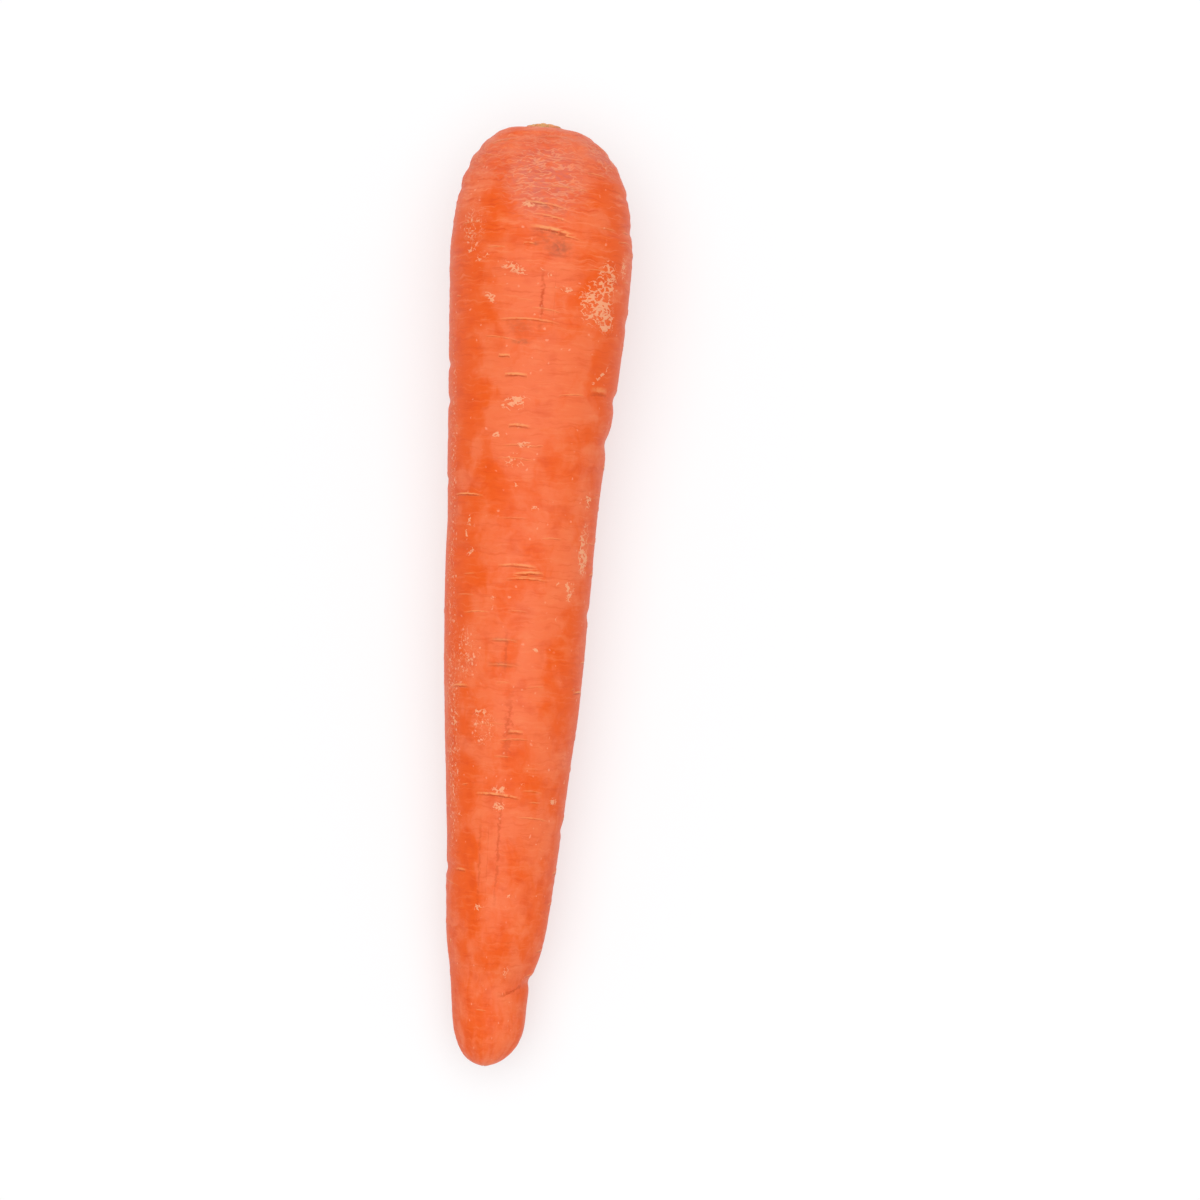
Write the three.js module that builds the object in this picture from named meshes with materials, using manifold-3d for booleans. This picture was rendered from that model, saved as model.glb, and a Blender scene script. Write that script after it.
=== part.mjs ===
// A whole washed carrot, topped and lying on its side, in millimetres.
// +Z is up and the surface it lies on is z = 0. The crown points along +Y and the tip along -Y.
// The root is a turned outline, bowed along its length, wrinkled across and set on a narrow flat.
// The trimmed leaf bases stand in the dimple of the crown.
import * as THREE from "three";
import { mergeVertices } from "three/addons/utils/BufferGeometryUtils.js";
import Module from "manifold-3d";

const wasm = await Module();
wasm.setup();

// Driving dimensions.
const LENGTH = 200;
const SHOULDER_RADIUS = 19.1;

// Half-widths along the root as [distance from the crown end, share of the shoulder radius].
const TAPER = [
  [0, 0.915],
  [14, 0.94],
  [29, 1],
  [58, 0.92],
  [80, 0.835],
  [101, 0.8],
  [122, 0.75],
  [139, 0.68],
  [156, 0.612],
  [171, 0.555],
  [176, 0.515],
  [181, 0.455],
  [186, 0.425],
  [192, 0.405],
  [LENGTH, 0.395],
];

// How far the middle line bows towards +X, as [distance from the crown end, offset].
const BOW = [
  [0, 0.5],
  [16, 1.5],
  [37, 1.95],
  [58, 1.55],
  [80, 1.15],
  [144, 1.45],
  [165, 1.25],
  [176, 0.9],
  [183, 0.4],
  [194, 0.65],
  [LENGTH, 0.1],
];

// Round ends: the length over which each closes, and how square its curve is.
const CROWN_ROUNDING = 19;
const CROWN_SQUARENESS = 2.1;
const TIP_ROUNDING = 10;
const TIP_SQUARENESS = 2;

// The dimple of the crown, which holds the leaf bases.
const DIMPLE_RADIUS = 6.2;
const DIMPLE_FLOOR_RADIUS = 5.1;
const DIMPLE_DEPTH = 2.2;

// The root lies on a short flat of its belly, under its weight. Both ends stand a little clear.
const FLAT_ALONG = 79.5;
const FLAT_DEPTH = 0.25;
const BELLY_CLEARANCE = 1.3;
const BELLY_REACH = 45;
const TIP_LIFT = 2.6;
const TIP_LIFT_FROM = 140;

// The section isn't quite round: two shallow swellings, of two and of three lobes, which grow from nothing
// at the rim of the dimple.
const TWO_LOBES = 0.018;
const THREE_LOBES = 0.014;
const LOBE_TWIST = 0.012;
const LOBES_GROW_OVER = 8;

// Wrinkles that run part of the way round, placed by a fixed rule.
const WRINKLES = 18;
const WRINKLE_FROM = 20;
const WRINKLE_TO = 176;
const WRINKLE_HALF_WIDTH = 1.1;
const WRINKLE_SHALLOW = 0.3;
const WRINKLE_DEEP = 0.6;
const WRINKLE_SHORT = 0.5;
const WRINKLE_LONG = 1.5;

// Rings that run all the way round the shoulder, as distances from the crown end.
const SHOULDER_RINGS = [4.2, 7.6, 11.4, 15.6];
const RING_HALF_WIDTH = 0.9;
const RING_DEPTH = 0.28;

// Folds in one side: where they are along the root and round it, and their reach, width and depth.
const FOLDS = [
  { along: 58.5, angle: 0, reach: 0.8, halfWidth: 1.6, depth: 0.6 },
  { along: 66.5, angle: 0, reach: 0.7, halfWidth: 1.8, depth: 0.7 },
  { along: 182, angle: 0.2, reach: 0.9, halfWidth: 1.4, depth: 0.7 },
];

// The underside stays smooth within this angle of straight down, so that the flat is clean.
const SMOOTH_BELOW = 0.5;

// How finely the outline is turned, and within what distance corners count as one.
const SEGMENTS = 40;
const ROW_SPACING = 6;
const ROW_GAP = 0.8;
const END_ROWS = 7;
const FLANK = 1.4;
const WALL_ROWS = 4;
const RIM_GAP = 0.2;
const TIP_ZONE = 1;
const RIM_STEP = 0.01;
const MERGE_WITHIN = 0.001;

// Trimmed leaf bases: a low heart, with crescents wrapped round it in the spiral of the leaves.
const HEART_RADIUS = 4.5;
const HEART_HEIGHT = 1.3;
const BUD_RADIUS = 0.9;
const CRESCENTS = 9;
const CRESCENT_NEAREST = 1.5;
const CRESCENT_FARTHEST = 3.9;
const CRESCENT_HALF_THICKNESS = 0.48;
const CRESCENT_REACH_NEAREST = 1.1;
const CRESCENT_REACH_FARTHEST = 0.62;
const CRESCENT_SIDES = 7;
const CRESCENT_CUT = 0.98;
const CRESCENT_LEAN = 0.05;
const CRESCENT_DROP = 1.1;
const CRESCENT_UNEVEN = 0.35;
const LEAF_BASE_GAP = 0.4;
const GOLDEN_ANGLE = Math.PI * (3 - Math.sqrt(5));

const clamp01 = (v) => Math.min(1, Math.max(0, v));

// A smooth step from 0 at v = 0 to 1 at v = 1.
const ease = (v) => clamp01(v) ** 2 * (3 - 2 * clamp01(v));

// A repeatable value from 0 to 1, for property k of item i.
function scatter(i, k) {
  const v = Math.sin((i + 1) * 12.9898 + k * 78.233) * 43758.5453;
  return v - Math.floor(v);
}

// A smooth line through stations of [distance, value], with each slope taken from its neighbours.
function through(stations) {
  const slope = stations.map((_, i) => {
    const [a, b] = [Math.max(0, i - 1), Math.min(stations.length - 1, i + 1)];
    return (stations[b][1] - stations[a][1]) / (stations[b][0] - stations[a][0]);
  });
  return (along) => {
    const last = stations.length - 2;
    const found = stations.findIndex((_, i) => i > 0 && along <= stations[i][0]) - 1;
    const i = found < 0 ? (along <= stations[0][0] ? 0 : last) : found;
    const [x0, y0] = stations[i];
    const [x1, y1] = stations[i + 1];
    const span = x1 - x0;
    const t = clamp01((along - x0) / span);
    const rise = (y1 - y0) * t * t * (3 - 2 * t);
    return y0 + rise + span * t * (1 - t) * (slope[i] * (1 - t) - slope[i + 1] * t);
  };
}

const taper = through(TAPER);
const bow = through(BOW);

const bodyRadius = (along) => SHOULDER_RADIUS * taper(along);

// How much of its full width the root has where an end rounds off.
function rounding(fromEnd, length, squareness) {
  const left = clamp01(1 - fromEnd / length);
  return (1 - left ** squareness) ** (1 / squareness);
}

function outlineRadius(along) {
  const crown = rounding(along, CROWN_ROUNDING, CROWN_SQUARENESS);
  const tip = rounding(LENGTH - along, TIP_ROUNDING, TIP_SQUARENESS);
  return bodyRadius(along) * crown * tip;
}

// The distance from the crown end at which the outline is as wide as the dimple.
function rimDistance() {
  let along = 0;
  while (outlineRadius(along) < DIMPLE_RADIUS) along += RIM_STEP;
  return along;
}

const rim = rimDistance();
const dimpleFloor = rim + DIMPLE_DEPTH;

// The height of the middle line, which leaves the belly lying on the surface.
function middleHeight(along) {
  const clear = BELLY_CLEARANCE * (1 - Math.exp(-(((along - FLAT_ALONG) / BELLY_REACH) ** 2)));
  const lift = TIP_LIFT * clamp01((along - TIP_LIFT_FROM) / (LENGTH - TIP_LIFT_FROM)) ** 2;
  return bodyRadius(along) - FLAT_DEPTH + clear + lift;
}

const wrinkles = Array.from({ length: WRINKLES }, (_, i) => ({
  along: WRINKLE_FROM + ((i + 0.7 * scatter(i, 1)) / WRINKLES) ** 1.15 * (WRINKLE_TO - WRINKLE_FROM),
  angle: 2 * Math.PI * scatter(i, 2),
  reach: WRINKLE_SHORT + (WRINKLE_LONG - WRINKLE_SHORT) * scatter(i, 3),
  halfWidth: WRINKLE_HALF_WIDTH,
  depth: WRINKLE_SHALLOW + (WRINKLE_DEEP - WRINKLE_SHALLOW) * scatter(i, 4),
}));
const rings = SHOULDER_RINGS.map((along) => ({
  along,
  angle: 0,
  reach: Infinity,
  halfWidth: RING_HALF_WIDTH,
  depth: RING_DEPTH,
}));
const grooves = [...rings, ...wrinkles, ...FOLDS];

// The shorter way round between two angles.
const apart = (a, b) => Math.abs(Math.atan2(Math.sin(a - b), Math.cos(a - b)));

// How deep the grooves are at a point on the root. The ends of each fade out.
function grooveDepth(along, angle) {
  const smooth = ease(apart(angle, -Math.PI / 2) / SMOOTH_BELOW - 1);
  const depth = grooves.reduce((sum, g) => {
    const across = Math.exp(-(((along - g.along) / g.halfWidth) ** 2));
    const round = 1 - ease(apart(angle, g.angle) / g.reach);
    return sum + g.depth * across * round;
  }, 0);
  return smooth * depth;
}

function lobes(along, angle) {
  const two = TWO_LOBES * Math.sin(2 * angle);
  const three = THREE_LOBES * Math.sin(3 * angle) * Math.cos(LOBE_TWIST * along);
  return 1 + ease((along - rim) / LOBES_GROW_OVER) * (two + three);
}

// Distances along the root at which the outline has a corner: an even run, and three for each groove.
function rowDistances() {
  const body = [];
  const first = CROWN_ROUNDING;
  const last = LENGTH - TIP_ROUNDING;
  const count = Math.round((last - first) / ROW_SPACING);
  for (let i = 0; i <= count; i++) body.push(first + ((last - first) * i) / count);
  for (const g of grooves) {
    body.push(g.along - FLANK * g.halfWidth, g.along, g.along + FLANK * g.halfWidth);
  }
  const roundEnds = Array.from({ length: END_ROWS }, (_, i) => {
    const turn = ((i + 0.5) / END_ROWS) * (Math.PI / 2);
    return 1 - Math.cos(turn);
  });
  for (const share of roundEnds) body.push(share * CROWN_ROUNDING, LENGTH - share * TIP_ROUNDING);
  const kept = [];
  for (const along of body.sort((a, b) => a - b)) {
    const nearEnd = along > LENGTH - TIP_ZONE;
    if (kept.length === 0 || nearEnd || along - kept.at(-1) > ROW_GAP) kept.push(along);
  }
  return kept;
}

// The half-outline from the floor of the dimple, over the shoulder and down to the tip.
function outline() {
  const points = [new THREE.Vector2(0, LENGTH / 2 - dimpleFloor)];
  for (let i = 0; i <= WALL_ROWS; i++) {
    const share = i / WALL_ROWS;
    const radius = DIMPLE_FLOOR_RADIUS + (DIMPLE_RADIUS - DIMPLE_FLOOR_RADIUS) * share;
    const depth = rim + DIMPLE_DEPTH * (1 - ease(share));
    points.push(new THREE.Vector2(radius, LENGTH / 2 - depth));
  }
  for (const along of rowDistances()) {
    if (along > rim + RIM_GAP) points.push(new THREE.Vector2(outlineRadius(along), LENGTH / 2 - along));
  }
  points.push(new THREE.Vector2(0, -LENGTH / 2));
  return points;
}

// A closed geometry as a manifold-3d solid.
function solidOf(geometry) {
  const bare = geometry.clone();
  bare.deleteAttribute("normal");
  bare.deleteAttribute("uv");
  const merged = mergeVertices(bare, MERGE_WITHIN);
  const corners = merged.index.array;
  const triVerts = [];
  for (let i = 0; i < corners.length; i += 3) {
    const [a, b, c] = corners.slice(i, i + 3);
    if (a !== b && b !== c && a !== c) triVerts.push(a, b, c);
  }
  const vertProperties = merged.attributes.position.array;
  const mesh = new wasm.Mesh({ numProp: 3, vertProperties, triVerts: new Uint32Array(triVerts) });
  return new wasm.Manifold(mesh);
}

// A solid as a three.js geometry with flat faces.
function geometryOf(solid) {
  const mesh = solid.getMesh();
  const geometry = new THREE.BufferGeometry();
  geometry.setAttribute("position", new THREE.BufferAttribute(mesh.vertProperties, 3));
  geometry.setIndex(new THREE.BufferAttribute(mesh.triVerts, 1));
  geometry.computeVertexNormals();
  return geometry;
}

// The turned outline, with its grooves and lobes pressed in and its middle line bowed.
function rootGeometry() {
  const geometry = new THREE.LatheGeometry(outline().reverse(), SEGMENTS);
  const position = geometry.getAttribute("position");
  for (let i = 0; i < position.count; i++) {
    const along = LENGTH / 2 - position.getY(i);
    const radius = Math.hypot(position.getX(i), position.getZ(i));
    const angle = Math.atan2(position.getZ(i), position.getX(i));
    const pressed = Math.min(grooveDepth(along, angle), radius / 4);
    const inDimple = radius <= DIMPLE_RADIUS && along < CROWN_ROUNDING;
    const shaped = inDimple ? radius : radius * lobes(along, angle) - pressed;
    position.setX(i, bow(along) + shaped * Math.cos(angle));
    position.setZ(i, middleHeight(along) + shaped * Math.sin(angle));
  }
  return geometry;
}

// The root, cut level where it lies.
function rootSolid() {
  const below = new THREE.BoxGeometry(LENGTH, 2 * LENGTH, LENGTH).translate(0, 0, -LENGTH / 2);
  return solidOf(rootGeometry()).subtract(solidOf(below));
}

// One trimmed leaf base: a crescent as thick as its middle, thinning to both ends, leaning outward.
function crescentSolid(i, height) {
  const share = i / (CRESCENTS - 1);
  const radius = CRESCENT_NEAREST + (CRESCENT_FARTHEST - CRESCENT_NEAREST) * share;
  const reach = CRESCENT_REACH_NEAREST + (CRESCENT_REACH_FARTHEST - CRESCENT_REACH_NEAREST) * share;
  const outer = [];
  const inner = [];
  for (let k = 0; k <= CRESCENT_SIDES; k++) {
    const across = CRESCENT_CUT * ((2 * k) / CRESCENT_SIDES - 1);
    const half = CRESCENT_HALF_THICKNESS * Math.sqrt(1 - across ** 2);
    const angle = i * GOLDEN_ANGLE + reach * across;
    outer.push(new THREE.Vector2((radius + half) * Math.cos(angle), (radius + half) * Math.sin(angle)));
    inner.push(new THREE.Vector2((radius - half) * Math.cos(angle), (radius - half) * Math.sin(angle)));
  }
  const tall = height - CRESCENT_DROP * share - CRESCENT_UNEVEN * scatter(i, 7);
  const shape = new THREE.Shape([...outer, ...inner.reverse()]);
  const stalk = new THREE.ExtrudeGeometry(shape, { depth: tall, steps: 1, bevelEnabled: false });
  const position = stalk.getAttribute("position");
  for (let k = 0; k < position.count; k++) {
    const spread = 1 + CRESCENT_LEAN * position.getZ(k);
    position.setX(k, position.getX(k) * spread);
    position.setY(k, position.getY(k) * spread);
  }
  return solidOf(stalk);
}

// The heart with its bud and crescents joined on, upright along +Z with its foot at the origin.
function leafBasesGeometry() {
  const height = dimpleFloor - LEAF_BASE_GAP;
  const heart = new THREE.LatheGeometry(
    [
      new THREE.Vector2(0, 0),
      new THREE.Vector2(HEART_RADIUS * 0.85, 0),
      new THREE.Vector2(HEART_RADIUS, HEART_HEIGHT * 0.5),
      new THREE.Vector2(HEART_RADIUS * 0.75, HEART_HEIGHT * 0.9),
      new THREE.Vector2(BUD_RADIUS, HEART_HEIGHT),
      new THREE.Vector2(BUD_RADIUS * 0.7, height * 0.9),
      new THREE.Vector2(0, height),
    ],
    SEGMENTS / 2,
  ).rotateX(Math.PI / 2);
  let joined = solidOf(heart);
  for (let i = 0; i < CRESCENTS; i++) joined = joined.add(crescentSolid(i, height));
  return geometryOf(joined);
}

const flesh = new THREE.MeshStandardMaterial({ color: 0xe8662a, roughness: 0.42, metalness: 0 });
const trimmed = new THREE.MeshStandardMaterial({ color: 0x9a8448, roughness: 0.7, metalness: 0 });

const root = new THREE.Mesh(geometryOf(rootSolid()), flesh);
root.name = "carrot_root";

// The leaf bases stand along the root's own axis, a hair clear of the floor of the dimple.
const leafBases = new THREE.Mesh(leafBasesGeometry(), trimmed);
leafBases.name = "leaf_bases";
leafBases.rotation.x = -Math.PI / 2;
leafBases.position.set(bow(0), LENGTH / 2 - dimpleFloor + LEAF_BASE_GAP, middleHeight(0));

// The origin is the middle of the base of the whole carrot.
const carrot = new THREE.Group();
carrot.add(root, leafBases);
const box = new THREE.Box3().setFromObject(carrot);
const middle = box.getCenter(new THREE.Vector3());
for (const piece of carrot.children) piece.position.sub(new THREE.Vector3(middle.x, middle.y, box.min.z));

export default carrot;
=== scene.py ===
"""A washed, topped carrot that lies on its side on a pale floor, under soft studio light.

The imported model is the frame. The root and its leaf bases are built again here as finer meshes of the same
form. Geometry nodes raise the fine relief of the skin and repeat the trimmed leaf bases, and both pieces get
procedural finishes. The crown points along +Y, the tip along -Y, and the root lies on z = 0.
Forms are drawn in millimetres, as the root was measured, and meshes are written in metres.
"""

from __future__ import annotations

import logging
import math
from dataclasses import dataclass, field, replace
from enum import Enum
from typing import Any

import bpy
import numpy as np
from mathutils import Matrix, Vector

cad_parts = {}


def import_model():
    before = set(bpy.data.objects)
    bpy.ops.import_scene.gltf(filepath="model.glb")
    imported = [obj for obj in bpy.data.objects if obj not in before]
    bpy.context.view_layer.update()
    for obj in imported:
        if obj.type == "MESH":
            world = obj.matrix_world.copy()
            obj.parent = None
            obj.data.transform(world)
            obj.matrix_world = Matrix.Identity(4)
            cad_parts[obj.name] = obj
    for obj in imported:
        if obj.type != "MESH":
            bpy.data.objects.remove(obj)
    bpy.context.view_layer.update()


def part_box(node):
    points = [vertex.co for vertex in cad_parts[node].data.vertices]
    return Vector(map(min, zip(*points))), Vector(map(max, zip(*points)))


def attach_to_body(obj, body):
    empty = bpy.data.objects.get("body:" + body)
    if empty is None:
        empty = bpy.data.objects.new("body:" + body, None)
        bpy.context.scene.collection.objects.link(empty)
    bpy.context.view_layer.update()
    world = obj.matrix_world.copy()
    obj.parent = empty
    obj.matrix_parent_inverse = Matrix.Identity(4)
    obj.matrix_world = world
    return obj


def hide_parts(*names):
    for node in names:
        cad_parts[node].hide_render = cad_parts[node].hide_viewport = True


MM = 0.001
STRAIGHT_DOWN = -math.pi / 2
GOLDEN_ANGLE = math.pi * (3 - math.sqrt(5))
NOISE_MIDDLE = 0.5

Colour = tuple[float, float, float, float]
Size = tuple[float, float, float]
Span = tuple[float, float]

WHITE: Colour = (1.0, 1.0, 1.0, 1.0)

log = logging.getLogger("carrot")


def screen(red: int, green: int, blue: int) -> Colour:
    """Turn a colour as a screen shows it into a linear one.

    Args:
        red: The red value, 0 to 255.
        green: The green value, 0 to 255.
        blue: The blue value, 0 to 255.

    Returns:
        The linear colour, with an alpha of 1.
    """
    most, toe, power = 255, 0.055, 2.4
    linear = [((value / most + toe) / (1 + toe)) ** power for value in (red, green, blue)]
    return (linear[0], linear[1], linear[2], 1.0)


def ease(value: np.ndarray) -> np.ndarray:
    """Step smoothly from 0 at 0 to 1 at 1."""
    clamped = np.clip(value, 0, 1)
    return clamped * clamped * (3 - 2 * clamped)


def rises(values: np.ndarray, span: Span) -> np.ndarray:
    """Step smoothly from 0 at the start of a span to 1 at its end."""
    return ease((values - span[0]) / (span[1] - span[0]))


def apart(first: np.ndarray, second: float) -> np.ndarray:
    """Give the shorter way round from angles to an angle."""
    return np.abs(np.arctan2(np.sin(first - second), np.cos(first - second)))


def scatter(item: int, kind: int) -> float:
    """Give a repeatable value for one property of one item.

    Args:
        item: The item's number.
        kind: The property's number.

    Returns:
        The value, from 0 to 1.
    """
    item_step, kind_step, spread = 12.9898, 78.233, 43758.5453
    value = math.sin((item + 1) * item_step + kind * kind_step) * spread
    return value - math.floor(value)


class Wire:
    """A node's output, on which sums read as expressions."""

    def __init__(self, graph: Graph, socket: bpy.types.NodeSocket) -> None:
        """Hold a socket and the graph that it is in."""
        self.graph = graph
        self.socket = socket

    def __add__(self, other: Wire | float) -> Wire:
        """Add a value."""
        return self.graph.math("ADD", self, other)

    __radd__ = __add__

    def __sub__(self, other: Wire | float) -> Wire:
        """Take a value away."""
        return self.graph.math("SUBTRACT", self, other)

    def __rsub__(self, other: float) -> Wire:
        """Take this from a value."""
        return self.graph.math("SUBTRACT", other, self)

    def __mul__(self, other: Wire | float) -> Wire:
        """Multiply by a value."""
        return self.graph.math("MULTIPLY", self, other)

    __rmul__ = __mul__

    def __truediv__(self, other: Wire | float) -> Wire:
        """Divide by a value."""
        return self.graph.math("DIVIDE", self, other)

    def centred(self) -> Wire:
        """Shift noise, so that it swings around 0."""
        return self - NOISE_MIDDLE

    def magnitude(self) -> Wire:
        """Drop the sign."""
        return self.graph.math("ABSOLUTE", self)

    def rises(self, start: float, end: float) -> Wire:
        """Step smoothly from 0 at start to 1 at end.

        Args:
            start: The value at and below which the result is 0.
            end: The value at and above which the result is 1.

        Returns:
            The eased value.
        """
        settings = {"interpolation_type": "SMOOTHSTEP"}
        inputs = {"Value": self, "From Min": start, "From Max": end}
        return self.graph.add("ShaderNodeMapRange", settings, inputs)


class Graph:
    """A node tree for a material or for geometry, and the one way in which nodes come into it."""

    def __init__(self, tree: bpy.types.NodeTree) -> None:
        """Start with an empty tree."""
        self.tree = tree
        tree.nodes.clear()

    def node(
        self,
        kind: str,
        settings: dict[str, Any] | None = None,
        inputs: dict[str | int, Any] | None = None,
    ) -> bpy.types.Node:
        """Add a node, set it up and feed its sockets.

        Args:
            kind: The node's type.
            settings: The node's own properties.
            inputs: The value or wire of each socket, by name or number.

        Returns:
            The node.
        """
        made = self.tree.nodes.new(kind)
        for name, value in (settings or {}).items():
            setattr(made, name, value)
        for key, value in (inputs or {}).items():
            if isinstance(value, Wire):
                self.tree.links.new(value.socket, made.inputs[key])
            else:
                made.inputs[key].default_value = value
        return made

    def add(
        self,
        kind: str,
        settings: dict[str, Any] | None = None,
        inputs: dict[str | int, Any] | None = None,
        output: str | int = 0,
    ) -> Wire:
        """Add a node as node() does, and give one of its outputs."""
        return Wire(self, self.node(kind, settings, inputs).outputs[output])

    def math(self, operation: str, *values: Wire | float) -> Wire:
        """Add a Math node on one to three values."""
        return self.add("ShaderNodeMath", {"operation": operation}, dict(enumerate(values)))

    def scaled(self, vector: Wire, factors: Size) -> Wire:
        """Multiply a vector by a factor for each axis."""
        return self.add("ShaderNodeVectorMath", {"operation": "MULTIPLY"}, {0: vector, 1: factors})

    def axes(self, vector: Wire) -> list[Wire]:
        """Split a vector into its three numbers."""
        parts = self.node("ShaderNodeSeparateXYZ", None, {"Vector": vector})
        return [Wire(self, parts.outputs[axis]) for axis in "XYZ"]

    def read(self, attribute: Enum, output: str = "Fac") -> Wire:
        """Read an attribute of the mesh in a material."""
        return self.add("ShaderNodeAttribute", {"attribute_name": attribute.value}, None, output)

    def noise(self, vector: Wire, size: Size, detail: float = 2.0, ragged: float = 0.5) -> Wire:
        """Add noise whose features have a size of their own along each axis.

        Args:
            vector: Where on the piece, in metres.
            size: The size of the features in millimetres, along each axis of the vector.
            detail: How many finer layers the noise has.
            ragged: How strong each finer layer is beside the one before it.

        Returns:
            The noise, around NOISE_MIDDLE.
        """
        per_metre = tuple(1 / (MM * length) for length in size)
        inputs = {
            "Vector": self.scaled(vector, per_metre), "Scale": 1.0, "Detail": detail, "Roughness": ragged,
        }
        return self.add("ShaderNodeTexNoise", None, inputs)

    def warped(self, vector: Wire, size: float, reach: Size) -> Wire:
        """Push places about at random, so that what is drawn at them wanders.

        Args:
            vector: Where on the piece, in metres.
            size: The size of the wanderings in millimetres.
            reach: How far they go in millimetres, along each axis.

        Returns:
            The places, moved.
        """
        usual_swing = 0.25
        inputs = {"Vector": vector, "Scale": 1 / (MM * size), "Detail": 3.0}
        swirl = self.add("ShaderNodeTexNoise", None, inputs, "Color")
        middle = (NOISE_MIDDLE,) * 3
        centred = self.add("ShaderNodeVectorMath", {"operation": "SUBTRACT"}, {0: swirl, 1: middle})
        steps = tuple(MM * length / usual_swing for length in reach)
        settings = {"operation": "MULTIPLY_ADD"}
        return self.add("ShaderNodeVectorMath", settings, {0: centred, 1: steps, 2: vector})

    def cells(self, vector: Wire, size: float) -> tuple[Wire, Wire]:
        """Add a pattern of cells.

        Args:
            vector: Where on the piece, in metres.
            size: The size of the cells in millimetres.

        Returns:
            How far a point is from the middle of its cell, in cells, and a random value for each cell.
        """
        cells = self.node("ShaderNodeTexVoronoi", None, {"Vector": vector, "Scale": 1 / (MM * size)})
        lot = self.add("ShaderNodeSeparateColor", None, {0: Wire(self, cells.outputs["Color"])})
        return Wire(self, cells.outputs["Distance"]), lot

    def blend(self, factor: Wire | float, first: Wire | Colour, second: Wire | Colour) -> Wire:
        """Mix two colours.

        Args:
            factor: How much of the second colour there is.
            first: The first colour.
            second: The second colour.

        Returns:
            The mixed colour.
        """
        settings = {"data_type": "RGBA", "clamp_factor": True}
        factor_input, first_input, second_input, colour_output = 0, 6, 7, 2
        inputs = {factor_input: factor, first_input: first, second_input: second}
        return self.add("ShaderNodeMix", settings, inputs, colour_output)

    def bump(self, height: Wire, strength: float, depth: float) -> Wire:
        """Add fine relief by shading alone.

        Args:
            height: The height, in shares of the depth.
            strength: How strongly the relief shows.
            depth: The depth in millimetres.

        Returns:
            The normal.
        """
        inputs = {"Height": height, "Strength": strength, "Distance": depth * MM}
        return self.add("ShaderNodeBump", None, inputs)


def start_material(name: str) -> tuple[bpy.types.Material, Graph]:
    """Make a material with an empty node tree.

    Args:
        name: The material's name.

    Returns:
        The material and its graph.
    """
    material = bpy.data.materials.new(name)
    material.use_nodes = True
    return material, Graph(material.node_tree)


def finish_surface(graph: Graph, inputs: dict[str, Any]) -> None:
    """Add the Principled shader with its inputs, and link it to the material's output."""
    shader = graph.add("ShaderNodeBsdfPrincipled", None, inputs)
    graph.node("ShaderNodeOutputMaterial", None, {"Surface": shader})


class MarkKind(Enum):
    """The kinds of mark on the skin. Each is the name of an attribute of the mesh."""

    SCAR = "scar"
    SCUFF = "scuff"
    BRUISE = "bruise"
    SPECKS = "specks"
    STREAK = "streak"
    RIDGES = "ridges"
    CLEAR = "clear"
    CORK = "cork"


class SkinPlace(Enum):
    """What else the skin knows about a point of it. Each is the name of an attribute of the mesh."""

    PLACE = "skin_place"
    WRINKLED = "wrinkled"
    SUPPLE = "supple"
    # How upward the skin faces; the skin's material paints the sheen on the upper side and a deeper shade on
    # the sides by it.
    UPWARD = "upward"
    SCAR_LINE = "scar_line"
    STREAK_LINE = "streak_line"


class StubPlace(Enum):
    """What the leaf bases know about a point of them. Each is the name of an attribute of the mesh."""

    CUT = "cut"
    RADIUS = "stem_radius"
    REACH = "stem_reach"
    TALL = "stem_tall"
    TURN = "stem_turn"


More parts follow.
